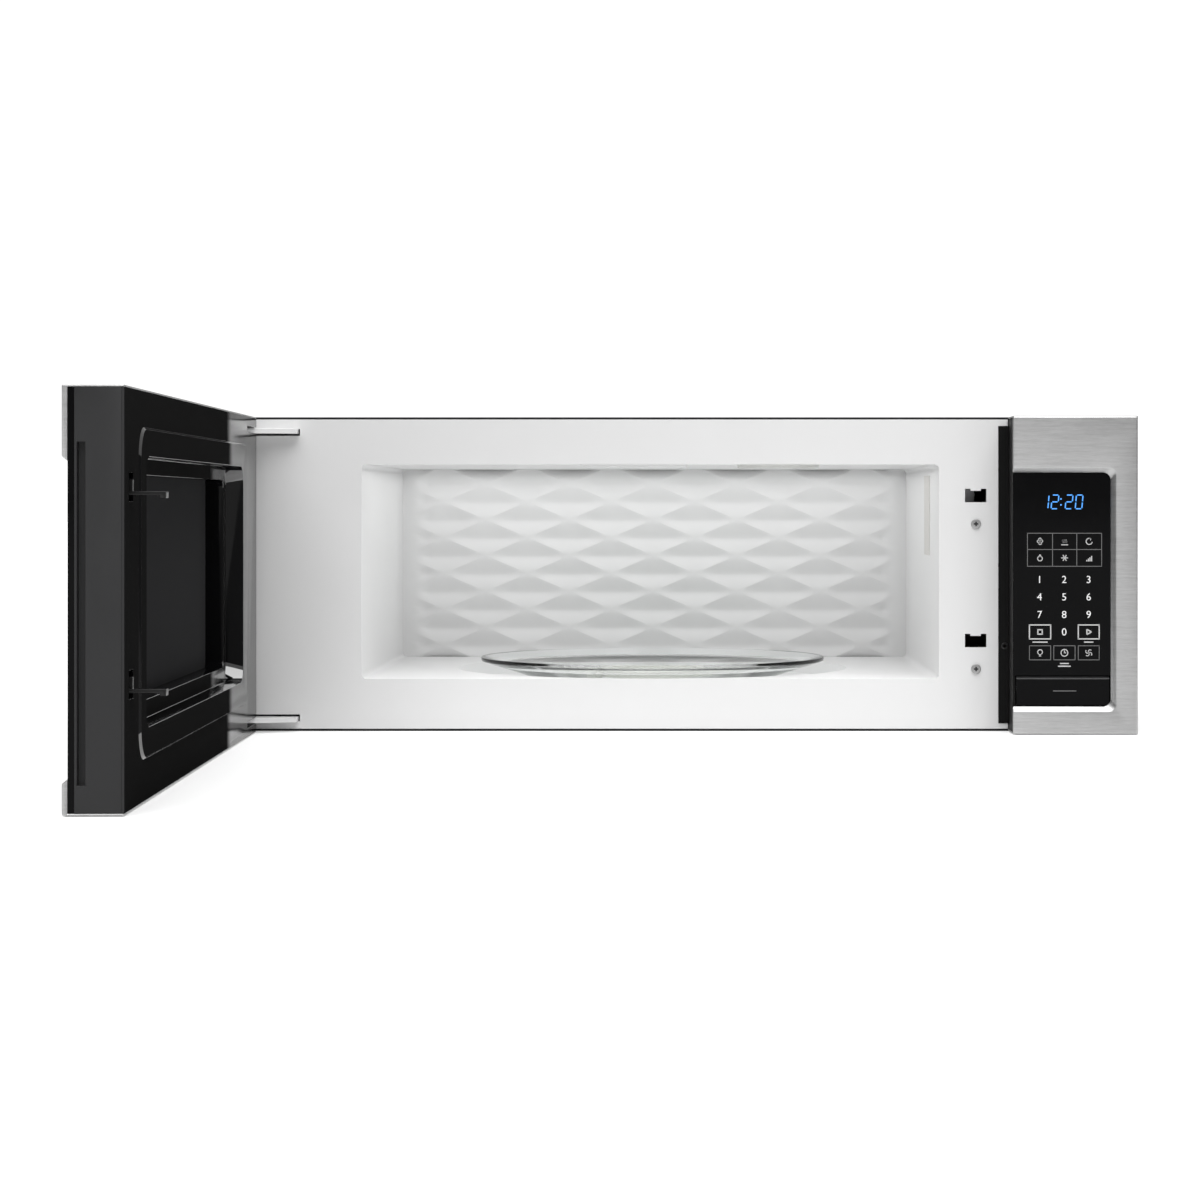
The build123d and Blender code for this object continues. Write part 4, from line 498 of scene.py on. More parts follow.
def round_edges(piece, width, segments=3, angle=30):
    """Rounds every edge sharper than an angle."""
    deselect()
    bpy.context.view_layer.objects.active = piece
    piece.select_set(True)
    bpy.ops.object.shade_smooth()
    rounding = piece.modifiers.new("rounding", "BEVEL")
    rounding.width = width
    rounding.segments = segments
    rounding.limit_method = "ANGLE"
    rounding.angle_limit = radians(angle)
    rounding.harden_normals = True
    apply_modifiers(piece)


def stand_in(piece, node, material):
    """Puts a finished copy in the place of its CAD piece."""
    settle(piece, piece.name, BODY_OF[node], material, 0)
    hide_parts(node)


def soften(node, name, material, width, segments=3, angle=30):
    """A copy of a CAD piece with its sharp edges rounded, standing in for the piece."""
    piece = merged_copy(node, name)
    round_edges(piece, width, segments, angle)
    stand_in(piece, node, material)
    return piece


BODY_OF = {"door_trim": "door", "release_button": "button", "door_inner_cover": "door", "door_frame": "door",
           "control_bezel": "cabinet", "hinge_bracket_upper": "cabinet", "hinge_bracket_lower": "cabinet",
           "control_housing": "cabinet", "latch_bar": "latch"}

hook_moulding = skinned("hook_moulding", (0.012, 0.012, 0.012), 900.0, 0.00001, (0.2, 0.3),
                       gloss=0.3)
soften("latch_bar", "latch_hooks", hook_moulding, 0.0005, 2)
hinge_steel = skinned("hinge_steel", (0.86, 0.86, 0.86), 300.0, 0.00001, (0.25, 0.38), 0.3, 0.04)
soften("hinge_bracket_upper", "hinge_arm_upper", hinge_steel, 0.0006)
soften("hinge_bracket_lower", "hinge_arm_lower", hinge_steel, 0.0006)


# ------------------------------------------------------------ face screws
# Two zinc-plated pan-head screws with a cross recess hold the latch board to the white
# face. A third, dark one holds the control panel's flange.
SCREW_DOME = 0.0006
CROSS_REACH = 0.0019
CROSS_WIDTH = 0.0013
CROSS_DEPTH = 0.0009
# Near-black painted shade for the faces inside each cross recess.
RECESS_PAINTED_SHADE = skinned("recess_shadow", (0.03, 0.03, 0.03), 400.0, 0.00002, (0.5, 0.6))


def screw_head(name, box, material):
    """A round head with a domed rim and a cross-shaped recess, facing the front."""
    low, high = box
    middle = (low + high) / 2
    radius = (high.x - low.x) / 2
    height = high.y - low.y
    deselect()
    bpy.ops.mesh.primitive_cylinder_add(vertices=32, radius=radius, depth=height, location=middle,
                                        rotation=(pi / 2, 0, 0))
    head = bpy.context.object
    bpy.ops.object.transform_apply(location=True, rotation=True, scale=True)
    dome = head.modifiers.new("dome", "BEVEL")
    dome.width = min(SCREW_DOME, height * 0.8)
    dome.segments = 3
    dome.limit_method = "ANGLE"
    apply_modifiers(head)
    for turn in (0, 1):
        reach = (CROSS_REACH, CROSS_WIDTH / 2)
        deselect()
        bpy.ops.mesh.primitive_cube_add(size=2, location=(middle.x, low.y, middle.z),
                                        scale=(reach[turn], CROSS_DEPTH, reach[1 - turn]))
        cutter = bpy.context.object
        recess = head.modifiers.new("recess", "BOOLEAN")
        recess.operation = "DIFFERENCE"
        recess.object = cutter
        deselect()
        bpy.context.view_layer.objects.active = head
        head.select_set(True)
        bpy.ops.object.modifier_apply(modifier=recess.name)
        bpy.data.objects.remove(cutter)
    settle(head, name, "cabinet", material, 35)
    # The faces inside the cross recess take the painted shade.
    head.data.materials.append(RECESS_PAINTED_SHADE)
    edit(head)
    choose_faces(head, lambda face: (face.center - middle).xz.length < CROSS_REACH + 0.0001
                 and face.center.y > low.y + CROSS_DEPTH * 0.2)
    head.active_material_index = 1
    bpy.ops.object.material_slot_assign()
    bpy.ops.object.mode_set(mode="OBJECT")
    return head


FACE_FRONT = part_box("cavity_face")[0].y
DOOR_BACK = -0.421
FACE_SCREWS = ((0.2517, 0.0416), (0.2517, -0.0787))
FACE_SCREW_SIZE = (0.0041, 0.0016)      # radius and height
FLANGE_SCREW = (0.2754, -0.0595)
FLANGE_SCREW_SIZE = (0.0028, 0.0008)
zinc_screw = skinned("zinc_screw", (0.42, 0.42, 0.42), 400.0, 0.00002, (0.3, 0.4), 0.8)
dark_screw = skinned("dark_screw", (0.03, 0.03, 0.03), 400.0, 0.00002, (0.3, 0.4), 0.5)
for part_name, (x, z) in zip(("upper", "lower"), FACE_SCREWS):
    radius, height = FACE_SCREW_SIZE
    box = (Vector((x - radius, FACE_FRONT - height, z - radius)),
           Vector((x + radius, FACE_FRONT, z + radius)))
    face_screw = screw_head("face_screw_" + part_name, box, zinc_screw)
    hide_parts("front_screws")
radius, height = FLANGE_SCREW_SIZE
x, z = FLANGE_SCREW
box = (Vector((x - radius, DOOR_BACK - height, z - radius)), Vector((x + radius, DOOR_BACK, z + radius)))
flange_screw = screw_head("flange_screw", box, dark_screw)
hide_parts("front_screws")


# ------------------------------------------------------------ brushed steel fronts
# The control panel's front and the door's front are stainless steel sheet, brushed along
# their width, with a pressed bevel round the black glass.
grain_group, grain_in, grain_out = start_group(
    "brushed_grain",
    [("Vector", VECTOR, (0, 0, 0)), ("Dark", COLOR, (0.4, 0.4, 0.4, 1)),
     ("Light", COLOR, (0.6, 0.6, 0.6, 1))],
    [("Color", COLOR), ("Roughness", FLOAT), ("Normal", VECTOR)])
grain_stretch = add_node(grain_group, "ShaderNodeMapping", Scale=(120.0, 120.0, 2400.0))
grain_lines = add_node(grain_group, "ShaderNodeTexNoise", Scale=1.0, Detail=4.0, Roughness=0.7)
grain_wide = add_node(grain_group, "ShaderNodeMapping", Scale=(30.0, 30.0, 600.0))
grain_bands = add_node(grain_group, "ShaderNodeTexNoise", Scale=1.0, Detail=3.0)
grain_sum = add_node(grain_group, "ShaderNodeMix", Factor=0.45)
grain_spread = add_node(grain_group, "ShaderNodeMapRange", From_Min=0.3, From_Max=0.7)
grain_tone = grain_group.nodes.new("ShaderNodeMix")
grain_tone.data_type = "RGBA"
grain_rough = add_node(grain_group, "ShaderNodeMapRange", To_Min=0.30, To_Max=0.44)
grain_bump = add_node(grain_group, "ShaderNodeBump", Strength=0.5, Distance=0.00003)
links = grain_group.links
links.new(grain_in.outputs["Vector"], grain_stretch.inputs["Vector"])
links.new(grain_in.outputs["Vector"], grain_wide.inputs["Vector"])
links.new(grain_stretch.outputs["Vector"], grain_lines.inputs["Vector"])
links.new(grain_wide.outputs["Vector"], grain_bands.inputs["Vector"])
links.new(grain_lines.outputs["Fac"], grain_sum.inputs[2])
links.new(grain_bands.outputs["Fac"], grain_sum.inputs[3])
links.new(grain_sum.outputs[0], grain_spread.inputs["Value"])
links.new(grain_spread.outputs["Result"], grain_tone.inputs["Factor"])
links.new(grain_in.outputs["Dark"], grain_tone.inputs[6])
links.new(grain_in.outputs["Light"], grain_tone.inputs[7])
links.new(grain_spread.outputs["Result"], grain_rough.inputs["Value"])
links.new(grain_lines.outputs["Fac"], grain_bump.inputs["Height"])
links.new(grain_tone.outputs[2], grain_out.inputs["Color"])
links.new(grain_rough.outputs["Result"], grain_out.inputs["Roughness"])
links.new(grain_bump.outputs["Normal"], grain_out.inputs["Normal"])

STEEL_DARK = (0.43, 0.43, 0.43, 1)
STEEL_LIGHT = (0.60, 0.60, 0.60, 1)
DOOR_SWING = radians(88.6)      # how far the door stands open


def brushed(name, turn):
    """Brushed steel whose grain runs along X after it is turned back about Z."""
    material, shader = start_material(name, (0.5, 0.5, 0.5), 0.35, 1.0)
    tree = material.node_tree
    place = tree.nodes.new("ShaderNodeTexCoord")
    turned = add_node(tree, "ShaderNodeMapping", Rotation=(0, 0, turn))
    grain = tree.nodes.new("ShaderNodeGroup")
    grain.node_tree = grain_group
    grain.inputs["Dark"].default_value = STEEL_DARK
    grain.inputs["Light"].default_value = STEEL_LIGHT
    tree.links.new(place.outputs["Object"], turned.inputs["Vector"])
    tree.links.new(turned.outputs["Vector"], grain.inputs["Vector"])
    tree.links.new(grain.outputs["Color"], shader.inputs["Base Color"])
    tree.links.new(grain.outputs["Roughness"], shader.inputs["Roughness"])
    tree.links.new(grain.outputs["Normal"], shader.inputs["Normal"])
    return material


soften("control_bezel", "control_front", brushed("brushed_panel", 0), 0.0011)
soften("door_trim", "door_front_trim", brushed("brushed_door", DOOR_SWING), 0.0007)


# ------------------------------------------------------------ black glass
# The touch panel and the door's front are glass with a black print behind. The polished
# face shows faint smears where hands have touched it.
smear_group, smear_in, smear_out = start_group(
    "hand_smears",
    [("Clean", FLOAT, 0.04), ("Smeared", FLOAT, 0.14), ("Scale", FLOAT, 18.0)],
    [("Roughness", FLOAT)])
smear_place = smear_group.nodes.new("ShaderNodeTexCoord")
smear_noise = add_node(smear_group, "ShaderNodeTexNoise", Detail=5.0, Roughness=0.65, Distortion=1.2)
smear_range = add_node(smear_group, "ShaderNodeMapRange", From_Min=0.45, From_Max=0.75)
links = smear_group.links
links.new(smear_place.outputs["Object"], smear_noise.inputs["Vector"])
links.new(smear_in.outputs["Scale"], smear_noise.inputs["Scale"])
links.new(smear_noise.outputs["Fac"], smear_range.inputs["Value"])
links.new(smear_in.outputs["Clean"], smear_range.inputs["To Min"])
links.new(smear_in.outputs["Smeared"], smear_range.inputs["To Max"])
links.new(smear_range.outputs["Result"], smear_out.inputs["Roughness"])


def polished(name, color, clean, smeared, gloss):
    """A smooth dark surface with faint smears in its shine."""
    material, shader = start_material(name, color, clean)
    shader.inputs["Specular IOR Level"].default_value = gloss
    tree = material.node_tree
    smears = tree.nodes.new("ShaderNodeGroup")
    smears.node_tree = smear_group
    smears.inputs["Clean"].default_value = clean
    smears.inputs["Smeared"].default_value = smeared
    tree.links.new(smears.outputs["Roughness"], shader.inputs["Roughness"])
    return material


black_glass = polished("black_glass", (0.0035, 0.0035, 0.0038), 0.05, 0.16, 0.07)
give(black_glass, "touch_glass", "door_glass")
gloss_black = polished("gloss_black_moulding", (0.004, 0.004, 0.0045), 0.06, 0.14, 0.15)
give(gloss_black, "display_module")
tinted = polished("tinted_pane", (0.03, 0.03, 0.031), 0.04, 0.12, 0.0)
give(tinted, "window_pane")


# ------------------------------------------------------------ clock digits
# A blue glowing seven-bar clock shines through the black glass. Each bar is a small flat
# strip; the two dots between the hours and the minutes are square.
PRINT_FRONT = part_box("touch_glass")[0].y
PRINT_THICKNESS = 0.00006
CLOCK_BASE = 0.0542
CLOCK_HEIGHT = 0.0112
CLOCK_WIDTH = 0.0054
CLOCK_SLANT = 0.09              # run to the right for each unit of height
CLOCK_STROKE = 0.0009
CLOCK_DIGITS = ((0.3014, "bc"), (0.3094, "abged"), (0.3209, "abged"), (0.3291, "abcdef"))
CLOCK_DOTS_X = 0.3175
CLOCK_DOTS_Z = (0.0574, 0.0622)


def start_print(name):
    """An empty mesh in edit mode that flat strips are added to."""
    deselect()
    piece = bpy.data.objects.new(name, bpy.data.meshes.new(name))
    bpy.context.collection.objects.link(piece)
    edit(piece)
    bpy.ops.object.mode_set(mode="EDIT")
    return piece


def strip(start, end, stroke):
    """A flat strip between two places on the glass, each given as (x, z)."""
    run = (end[0] - start[0], end[1] - start[1])
    middle = ((start[0] + end[0]) / 2, PRINT_FRONT - PRINT_THICKNESS / 2, (start[1] + end[1]) / 2)
    bpy.ops.mesh.primitive_cube_add(size=1, location=middle, rotation=(0, -atan2(run[1], run[0]), 0),
                                    scale=(max(hypot(*run), stroke), PRINT_THICKNESS, stroke))


def outline(x, z, stroke):
    """Four strips round a rectangle."""
    for height in z:
        strip((x[0] - stroke / 2, height), (x[1] + stroke / 2, height), stroke)
    for side in x:
        strip((side, z[0]), (side, z[1]), stroke)


def glowing(name, color, strength):
    """A lit material whose glow is a little uneven, as a lamp behind a mask is."""
    material, shader = start_material(name, color, 0.3)
    shader.inputs["Emission Strength"].default_value = strength
    tree = material.node_tree
    place = tree.nodes.new("ShaderNodeTexCoord")
    spots = add_node(tree, "ShaderNodeTexNoise", Scale=900.0, Detail=1.0)
    glow = tree.nodes.new("ShaderNodeMix")
    glow.data_type = "RGBA"
    glow.inputs[6].default_value = shade(color, 0.8)
    glow.inputs[7].default_value = shade(color, 1.2)
    tree.links.new(place.outputs["Object"], spots.inputs["Vector"])
    tree.links.new(spots.outputs["Fac"], glow.inputs["Factor"])
    tree.links.new(glow.outputs[2], shader.inputs["Emission Color"])
    return material


clock = start_print("clock_digits")
for left, bars in CLOCK_DIGITS:
    right, low, high = left + CLOCK_WIDTH, CLOCK_BASE, CLOCK_BASE + CLOCK_HEIGHT
    centre = (low + high) / 2
    gap = CLOCK_STROKE * 0.6
    ends = {"a": ((left + gap, high), (right - gap, high)), "b": ((right, centre + gap), (right, high - gap)),
            "c": ((right, low + gap), (right, centre - gap)), "d": ((left + gap, low), (right - gap, low)),
            "e": ((left, low + gap), (left, centre - gap)), "f": ((left, centre + gap), (left, high - gap)),
            "g": ((left + gap, centre), (right - gap, centre))}
    for bar in bars:
        strip(*[(x + (z - CLOCK_BASE) * CLOCK_SLANT, z) for x, z in ends[bar]], CLOCK_STROKE)
for height in CLOCK_DOTS_Z:
    strip((CLOCK_DOTS_X, height), (CLOCK_DOTS_X, height), CLOCK_STROKE * 1.3)
settle(clock, "clock_digits", "cabinet", glowing("clock_blue", (0.07, 0.30, 0.78), 0.72), 0)

# ------------------------------------------------------------ key marks
# The touch keys are printed behind the glass in light grey: thin frames round the function
# keys, brighter frames round stop and start, plain numbers and simple signs.
GRID_X = (0.2901, 0.3106, 0.3304, 0.3507)
GRID_Z = (0.0072, 0.0209, 0.0342)
FINE_STROKE = 0.00055
BOLD_STROKE = 0.0009
LEFT_KEY_X = (0.2917, 0.3091)
MIDDLE_KEY_X = (0.3116, 0.3290)
RIGHT_KEY_X = (0.3316, 0.3487)
BOLD_KEY_Z = (-0.0521, -0.0407)
LOW_KEY_Z = (-0.0692, -0.0577)
NUMBER_X = (0.3000, 0.3201, 0.3401)
NUMBER_Z = (-0.0039, -0.0181, -0.0325, -0.0467)
NUMBER_SIZE = 0.008436


def ring_mark(x, z, radius, stroke, parts=24, start=0.0, sweep=2 * pi):
    """Strips set end to end along an arc."""
    places = [(x + radius * cos(start + sweep * step / parts), z + radius * sin(start + sweep * step / parts))
              for step in range(parts + 1)]
    for one, two in zip(places, places[1:]):
        strip(one, two, stroke)


def printed(name, color):
    """Ink whose cover varies slightly from place to place."""
    return skinned(name, color, 2500.0, 0.000002, (0.4, 0.5), spread=0.12)


fine = start_print("key_frames")
outline((GRID_X[0], GRID_X[3]), (GRID_Z[0], GRID_Z[2]), FINE_STROKE)
for x in GRID_X[1:3]:
    strip((x, GRID_Z[0]), (x, GRID_Z[2]), FINE_STROKE)
strip((GRID_X[0], GRID_Z[1]), (GRID_X[3], GRID_Z[1]), FINE_STROKE)
for x in (LEFT_KEY_X, MIDDLE_KEY_X, RIGHT_KEY_X):
    outline(x, LOW_KEY_Z, FINE_STROKE)
settle(fine, "key_frames", "cabinet", printed("grey_print", (0.16, 0.16, 0.16)), 0)

bold = start_print("key_frames_bold")
for x in (LEFT_KEY_X, RIGHT_KEY_X):
    outline(x, BOLD_KEY_Z, BOLD_STROKE)
light_print = printed("light_print", (0.62, 0.62, 0.62))
settle(bold, "key_frames_bold", "cabinet", light_print, 0)

signs = start_print("key_signs")
upper, lower = (GRID_Z[1] + GRID_Z[2]) / 2, (GRID_Z[0] + GRID_Z[1]) / 2
columns_x = [(GRID_X[k] + GRID_X[k + 1]) / 2 for k in range(3)]
SIGN = 0.0028                   # half a sign's size
THIN = 0.0007
for dx, dz in ((-0.0011, 0.0), (0.0011, 0.0002), (0.0, 0.0016), (0.0001, -0.0015)):
    ring_mark(columns_x[0] + dx, upper + dz, 0.0011, THIN, 10)
strip((columns_x[1] - SIGN, upper - SIGN), (columns_x[1] + SIGN, upper - SIGN), THIN)
for shift in (-0.0014, 0.0, 0.0014):
    ring_mark(columns_x[1] + shift, upper - 0.0004, 0.0005, THIN, 6, -pi / 2, pi)
    ring_mark(columns_x[1] + shift, upper + 0.0006, 0.0005, THIN, 6, pi / 2, pi)
ring_mark(columns_x[2], upper, SIGN * 0.9, THIN, 18, pi / 3, 1.6 * pi)
tip = (columns_x[2] + SIGN * 0.9 * cos(pi / 3), upper + SIGN * 0.9 * sin(pi / 3))
strip(tip, (tip[0] - 0.0012, tip[1] + 0.0004), THIN)
strip(tip, (tip[0] - 0.0003, tip[1] - 0.0013), THIN)
ring_mark(columns_x[0], lower - 0.0005, SIGN * 0.7, THIN, 14, 3 * pi / 4, 1.5 * pi)
for side in (-1, 1):
    strip((columns_x[0] + side * 0.0011, lower + 0.0006), (columns_x[0], lower + SIGN), THIN)
for turn in range(3):
    reach = (SIGN * cos(turn * pi / 3), SIGN * sin(turn * pi / 3))
    strip((columns_x[1] - reach[0], lower - reach[1]), (columns_x[1] + reach[0], lower + reach[1]), THIN)
for step in range(4):
    x = columns_x[2] + (step - 1.5) * 0.0013
    strip((x, lower - SIGN), (x, lower - SIGN + 0.0011 * (step + 1)), THIN * 1.2)
bold_middle = sum(BOLD_KEY_Z) / 2
stop_x, start_x = sum(LEFT_KEY_X) / 2, sum(RIGHT_KEY_X) / 2
outline((stop_x - 0.0018, stop_x + 0.0018), (bold_middle - 0.0018, bold_middle + 0.0018), THIN * 1.4)
corners = ((start_x - 0.0015, bold_middle - 0.0021), (start_x + 0.0023, bold_middle),
           (start_x - 0.0015, bold_middle + 0.0021))
for one, two in zip(corners, corners[1:] + corners[:1]):
    strip(one, two, THIN * 1.4)
low_middle = sum(LOW_KEY_Z) / 2
lamp_x, timer_x, fan_x = stop_x, sum(MIDDLE_KEY_X) / 2, start_x
ring_mark(lamp_x, low_middle + 0.0006, SIGN * 0.7, THIN, 14, -pi / 3, 5 * pi / 3)
for drop in (0.0016, 0.0026):
    strip((lamp_x - 0.0008, low_middle - drop), (lamp_x + 0.0008, low_middle - drop), THIN)
ring_mark(timer_x, low_middle, SIGN, THIN, 20)
strip((timer_x, low_middle), (timer_x, low_middle + SIGN * 0.7), THIN)
strip((timer_x, low_middle), (timer_x + SIGN * 0.5, low_middle), THIN)
for turn in range(4):
    angle = turn * pi / 2 + pi / 4
    ring_mark(fan_x + SIGN * 0.55 * cos(angle), low_middle + SIGN * 0.55 * sin(angle), SIGN * 0.5, THIN, 8,
              angle, pi * 1.1)
for x, half in ((stop_x, 0.0062), (start_x, 0.0038)):
    strip((x - half, BOLD_KEY_Z[0] - 0.0026), (x + half, BOLD_KEY_Z[0] - 0.0026), 0.0009)
for drop, half in ((0.0030, 0.0036), (0.0052, 0.0052)):
    strip((timer_x - half, LOW_KEY_Z[0] - drop), (timer_x + half, LOW_KEY_Z[0] - drop), 0.0009)
settle(signs, "key_signs", "cabinet", light_print, 0)

number_places = [(str(3 * row + column + 1), NUMBER_X[column], NUMBER_Z[row])
                 for row in range(3) for column in range(3)]
number_places.append(("0", NUMBER_X[1], NUMBER_Z[3]))
numbers = []
for body, x, z in number_places:
    deselect()
    bpy.ops.object.text_add()
    number = bpy.context.object
    number.data.body = body
    number.data.size = NUMBER_SIZE
    number.data.align_x = "CENTER"
    number.data.align_y = "CENTER"
    number.data.extrude = PRINT_THICKNESS / 2
    bpy.ops.object.convert(target="MESH")
    number.location = (x, PRINT_FRONT - PRINT_THICKNESS / 2, z)
    number.rotation_euler = (pi / 2, 0, 0)
    numbers.append(number)
deselect()
for number in numbers:
    number.select_set(True)
bpy.context.view_layer.objects.active = numbers[0]
bpy.ops.object.join()
white_print = printed("white_print", (0.92, 0.92, 0.92))
settle(numbers[0], "key_numbers", "cabinet", white_print, 0)

BUTTON_CHAMFER = 0.0025
button_low, button_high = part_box("release_button")
BUTTON_EDGE = 0.0003            # rounding of the button's other edges


def refinish(piece, index, wanted):
    """Gives the faces that a test accepts another of the piece's materials."""
    edit(piece)
    choose_faces(piece, wanted)
    piece.active_material_index = index
    bpy.ops.object.material_slot_assign()
    bpy.ops.object.mode_set(mode="OBJECT")


button = merged_copy("release_button", "open_button")
edit(button, "EDGE")
for edge in button.data.edges:
    ends = [button.data.vertices[index].co for index in edge.vertices]
    edge.select = all(end.z > button_high.z - 0.0001 and end.y < button_low.y + 0.0001 for end in ends)
bpy.ops.object.mode_set(mode="EDIT")
bpy.ops.mesh.bevel(offset=BUTTON_CHAMFER, segments=1)
bpy.ops.object.mode_set(mode="OBJECT")
round_edges(button, BUTTON_EDGE, 2, 40)
bpy.ops.object.shade_flat()
stand_in(button, "release_button", black_glass)
# The button is one black glass piece. Its upward-facing chamfer is coloured a lighter grey as a painted
# highlight from the light above.
chamfer_painted_highlight = skinned("button_chamfer_painted_highlight", (0.045, 0.045, 0.046), 900.0, 0.00001, (0.3, 0.4))
button.data.materials.append(chamfer_painted_highlight)
refinish(button, 1, lambda face: face.normal.z > 0.3 and face.normal.y < -0.3)
button_mark = start_print("button_mark")
BUTTON_MARK = ((0.3109, -0.0946), (0.3301, -0.0946))
strip(*BUTTON_MARK, FINE_STROKE * 1.3)
settle(button_mark, "button_mark", "button", bpy.data.materials["grey_print"], 0)

# ------------------------------------------------------------ door frame
# The door is carried by one dark grey moulded frame, dull and fine grained, with a groove
# down its free edge.
frame_moulding = skinned("door_frame_moulding", (0.026, 0.026, 0.027), 900.0, 0.00003, (0.42, 0.55),
                         gloss=0.3)
soften("door_frame", "door_body", frame_moulding, 0.0006, 2)

# ------------------------------------------------------------ door inner cover
# A glossy black moulding closes the inside of the door. It has a raised field, and a stepped
# well with softly rounded rims leads down to the window.
HINGE_LINE = Vector((-0.361, -0.441, 0.0))
COVER_PLANE = 0.020             # inner side of the door behind the hinge line
STEP_PLANE = 0.006
WELL_ALONG = (0.085, 0.5628)    # window well along the door, from the hinge line
WELL_HEIGHT = (-0.0840, 0.0890)
COVER_END = 0.630               # beyond this lies only the edge at the free end
FLOOR_WALL = (-0.0785, 0.0840)  # the well's lower wall lies between these heights
FLOOR_SHRINK = 0.9608
FLOOR_MIDDLE = 0.0178
ROUND_WIDTH = 0.003
SHARP_SHARE, MOUTH_SHARE, STEP_SHARE = 0.12, 0.75, 0.8


def in_door(place):
    """A place as (along the door, in front of the hinge line, height) with the door closed."""
    x, y = (place - HINGE_LINE).xy
    return (cos(DOOR_SWING) * x - sin(DOOR_SWING) * y, sin(DOOR_SWING) * x + cos(DOOR_SWING) * y, place.z)


def between(value, limits):
    return limits[0] < value < limits[1]


def pick(piece, kind, wanted):
    """Selects the vertices or edges whose ends all pass a test given in the door's own places."""
    edit(piece, kind)
    passed = [wanted(*in_door(corner.co)) for corner in piece.data.vertices]
    for edge in piece.data.edges:
        edge.select = kind == "EDGE" and all(passed[end] for end in edge.vertices)
    for index, corner in enumerate(piece.data.vertices):
        corner.select = kind == "VERT" and passed[index]
    bpy.ops.object.mode_set(mode="EDIT")


door_cover = merged_copy("door_inner_cover", "door_cover")
pick(door_cover, "VERT", lambda along, depth, height: depth < STEP_PLANE + 0.0001
     and between(along, WELL_ALONG) and between(height, FLOOR_WALL))
bpy.ops.transform.resize(value=(1, 1, FLOOR_SHRINK), center_override=(0, 0, FLOOR_MIDDLE))
edit(door_cover, "EDGE")
bpy.ops.object.mode_set(mode="EDIT")
bpy.ops.mesh.edges_select_sharp(sharpness=radians(35))
bpy.ops.transform.edge_bevelweight(value=SHARP_SHARE)
for plane, share in ((COVER_PLANE, MOUTH_SHARE), (STEP_PLANE, STEP_SHARE)):
    pick(door_cover, "EDGE", lambda along, depth, height: abs(depth - plane) < 0.0002
         and between(along, WELL_ALONG) and between(height, WELL_HEIGHT))
    bpy.ops.transform.edge_bevelweight(value=share - SHARP_SHARE)
bpy.ops.object.mode_set(mode="OBJECT")
bpy.ops.object.shade_smooth()
rounding = door_cover.modifiers.new("rounding", "BEVEL")
rounding.width = ROUND_WIDTH
rounding.segments = 4
rounding.limit_method = "WEIGHT"
rounding.harden_normals = True
apply_modifiers(door_cover)
stand_in(door_cover, "door_inner_cover", gloss_black)
FLAT_FACE = 0.995               # a face whose normal points this much inwards is a flat one
satin_black, satin_shader = start_material("satin_black_moulding", (0.012, 0.012, 0.012), 0.2)
satin_tree = satin_black.node_tree
satin_place = satin_tree.nodes.new("ShaderNodeTexCoord")
satin_split = satin_tree.nodes.new("ShaderNodeSeparateXYZ")
SATIN_FADE = (-0.620, -0.590)    # where the polish begins and is full, along the open door
satin_side = add_node(satin_tree, "ShaderNodeMapRange", From_Min=SATIN_FADE[0], From_Max=SATIN_FADE[1])
satin_shader.inputs["Coat Roughness"].default_value = 0.16
satin_side.interpolation_type = "SMOOTHSTEP"
satin_tree.links.new(satin_place.outputs["Object"], satin_split.inputs["Vector"])
satin_tree.links.new(satin_split.outputs["Y"], satin_side.inputs["Value"])
satin_tree.links.new(satin_side.outputs["Result"], satin_shader.inputs["Coat Weight"])
satin_shader.inputs["Specular IOR Level"].default_value = 0.0
satin_shader.inputs["Coat IOR"].default_value = 1.75
satin_smears = satin_tree.nodes.new("ShaderNodeGroup")
satin_smears.node_tree = smear_group
satin_smears.inputs["Clean"].default_value = 0.12
satin_smears.inputs["Smeared"].default_value = 0.22
satin_tree.links.new(satin_smears.outputs["Roughness"], satin_shader.inputs["Roughness"])
door_cover.data.materials.append(satin_black)
door_cover.data.materials.append(frame_moulding)
polished_rim = polished("polished_rim", (0.004, 0.004, 0.0045), 0.05, 0.1, 1.0)
rim_shader = polished_rim.node_tree.nodes["Principled BSDF"]
rim_shader.inputs["Coat Weight"].default_value = 1.0
rim_shader.inputs["Coat IOR"].default_value = 2.0
door_cover.data.materials.append(polished_rim)
# rims that run along the door, then the flat faces, then the edge at the free end
refinish(door_cover, 3, lambda face: (0.06 < abs(face.normal.z) < 0.998
                                      and 0.04 < face.normal.x < FLAT_FACE))
refinish(door_cover, 1, lambda face: face.normal.x > FLAT_FACE)
refinish(door_cover, 2, lambda face: face.normal.y < -0.9 and in_door(face.center)[0] > COVER_END)
screen_steel = skinned("screen_steel", (0.012, 0.012, 0.012), 900.0, 0.00004, (0.4, 0.5))
give(screen_steel, "door_screen")

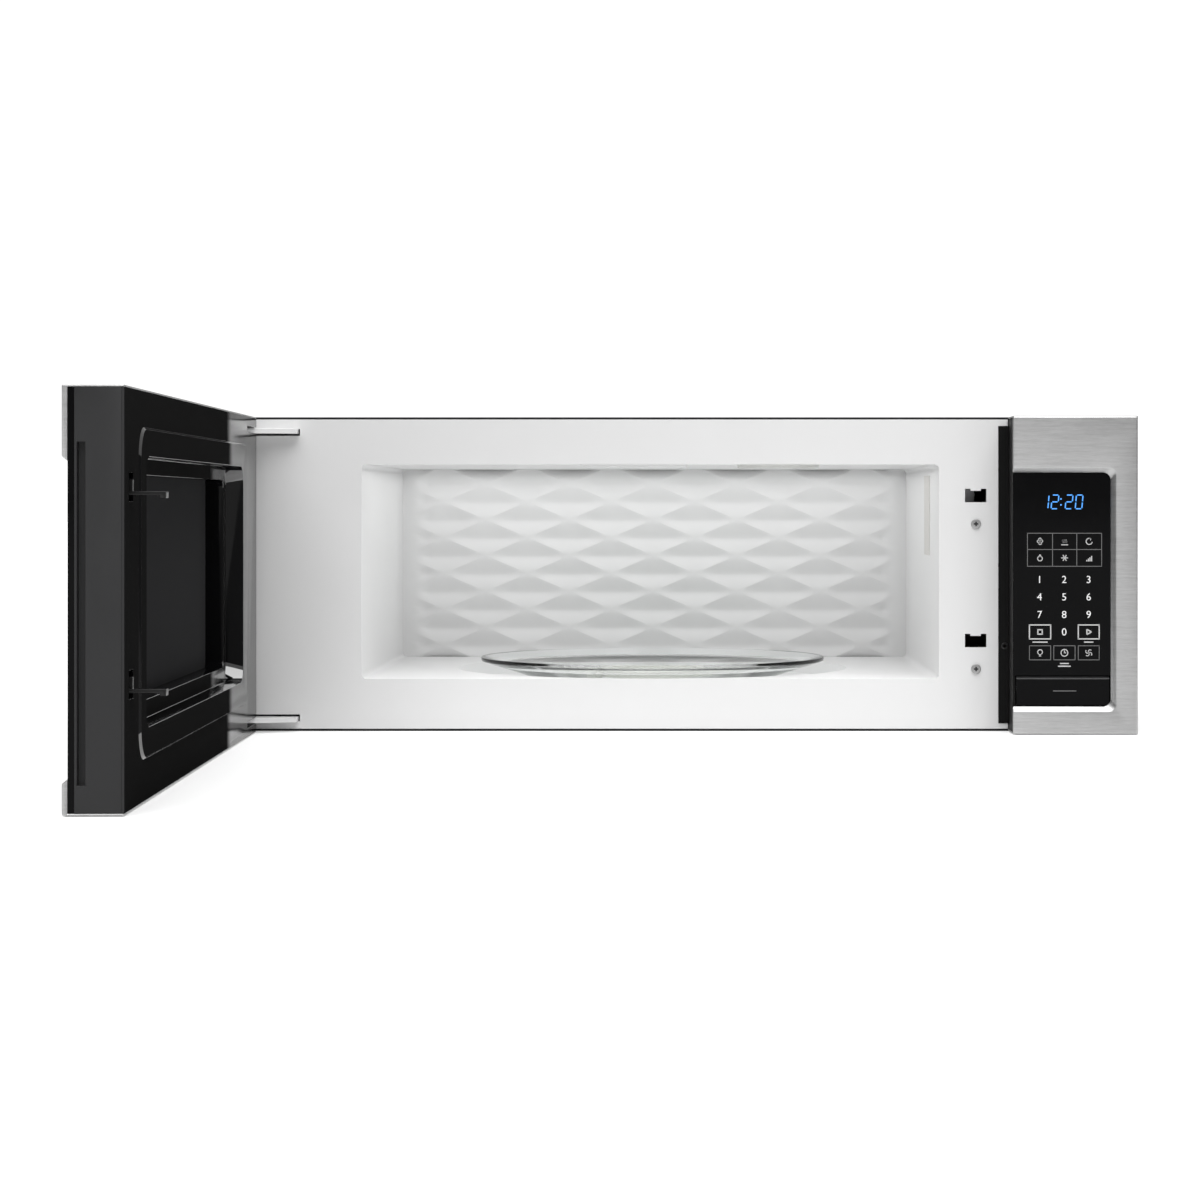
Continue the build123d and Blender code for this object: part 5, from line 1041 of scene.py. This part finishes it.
# ------------------------------------------------------------ studio
# A pale floor under the unit, one broad soft sun from above the camera, a soft lamp in the
# cavity, and the camera where the photograph was taken.
FLOOR_Z = cad_box[0].z - 0.0004
deselect()
bpy.ops.mesh.primitive_plane_add(size=60, location=(0, 0, FLOOR_Z))
floor = bpy.context.object
floor.name = "studio_floor"
floor_material = skinned("studio_floor", (0.92, 0.92, 0.92), 3.0, 0.0, (0.8, 0.9), spread=0.0)
floor_tree = floor_material.node_tree
floor_ray = floor_tree.nodes.new("ShaderNodeLightPath")
floor_glow = add_node(floor_tree, "ShaderNodeMapRange", To_Max=0.35)
floor_shader = floor_tree.nodes["Principled BSDF"]
floor_shader.inputs["Emission Color"].default_value = (1, 1, 1, 1)
floor_tree.links.new(floor_ray.outputs["Is Camera Ray"], floor_glow.inputs["Value"])
floor_tree.links.new(floor_glow.outputs["Result"], floor_shader.inputs["Emission Strength"])
floor.data.materials.append(floor_material)

bpy.ops.object.light_add(type="SUN", location=(0, -3, 3), rotation=(radians(24), 0, 0))
sun = bpy.context.object
sun.data.energy = 2.95
sun.data.angle = radians(70)

lamp_low, lamp_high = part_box("cavity_lamp_cover")
LAMP_SIZE = (0.46, 0.335)
bpy.ops.object.light_add(type="AREA", location=(back_middle, -0.24, lamp_low.z - 0.002))
cavity_light = bpy.context.object
cavity_light.data.shape = "RECTANGLE"
cavity_light.data.size = LAMP_SIZE[0]
cavity_light.data.size_y = LAMP_SIZE[1]
cavity_light.data.energy = 0.41

world = bpy.data.worlds.new("studio_world")
world.use_nodes = True
bpy.context.scene.world = world
world_tree = world.node_tree
backdrop = world_tree.nodes["Background"]
backdrop.inputs["Color"].default_value = (1, 1, 1, 1)
backdrop.inputs["Strength"].default_value = 1.1
ambient = add_node(world_tree, "ShaderNodeBackground", Color=(1, 1, 1, 1), Strength=0.32)
ray = world_tree.nodes.new("ShaderNodeLightPath")
sky = world_tree.nodes.new("ShaderNodeMixShader")
world_tree.links.new(ray.outputs["Is Camera Ray"], sky.inputs["Fac"])
world_tree.links.new(ambient.outputs["Background"], sky.inputs[1])
world_tree.links.new(backdrop.outputs["Background"], sky.inputs[2])
world_tree.links.new(sky.outputs["Shader"], world_tree.nodes["World Output"].inputs["Surface"])
bpy.context.scene.view_settings.view_transform = "Standard"

CAMERA_PLACE = (0.00826, -2.805, 0.0568)
CAMERA_LENS = 86.29
CAMERA_SHIFT = (-0.0686, -0.0787)
bpy.ops.object.camera_add(location=CAMERA_PLACE, rotation=(pi / 2, 0, 0))
camera = bpy.context.object
camera.data.lens = CAMERA_LENS
camera.data.sensor_width = 36
camera.data.shift_x, camera.data.shift_y = CAMERA_SHIFT
bpy.context.scene.camera = camera
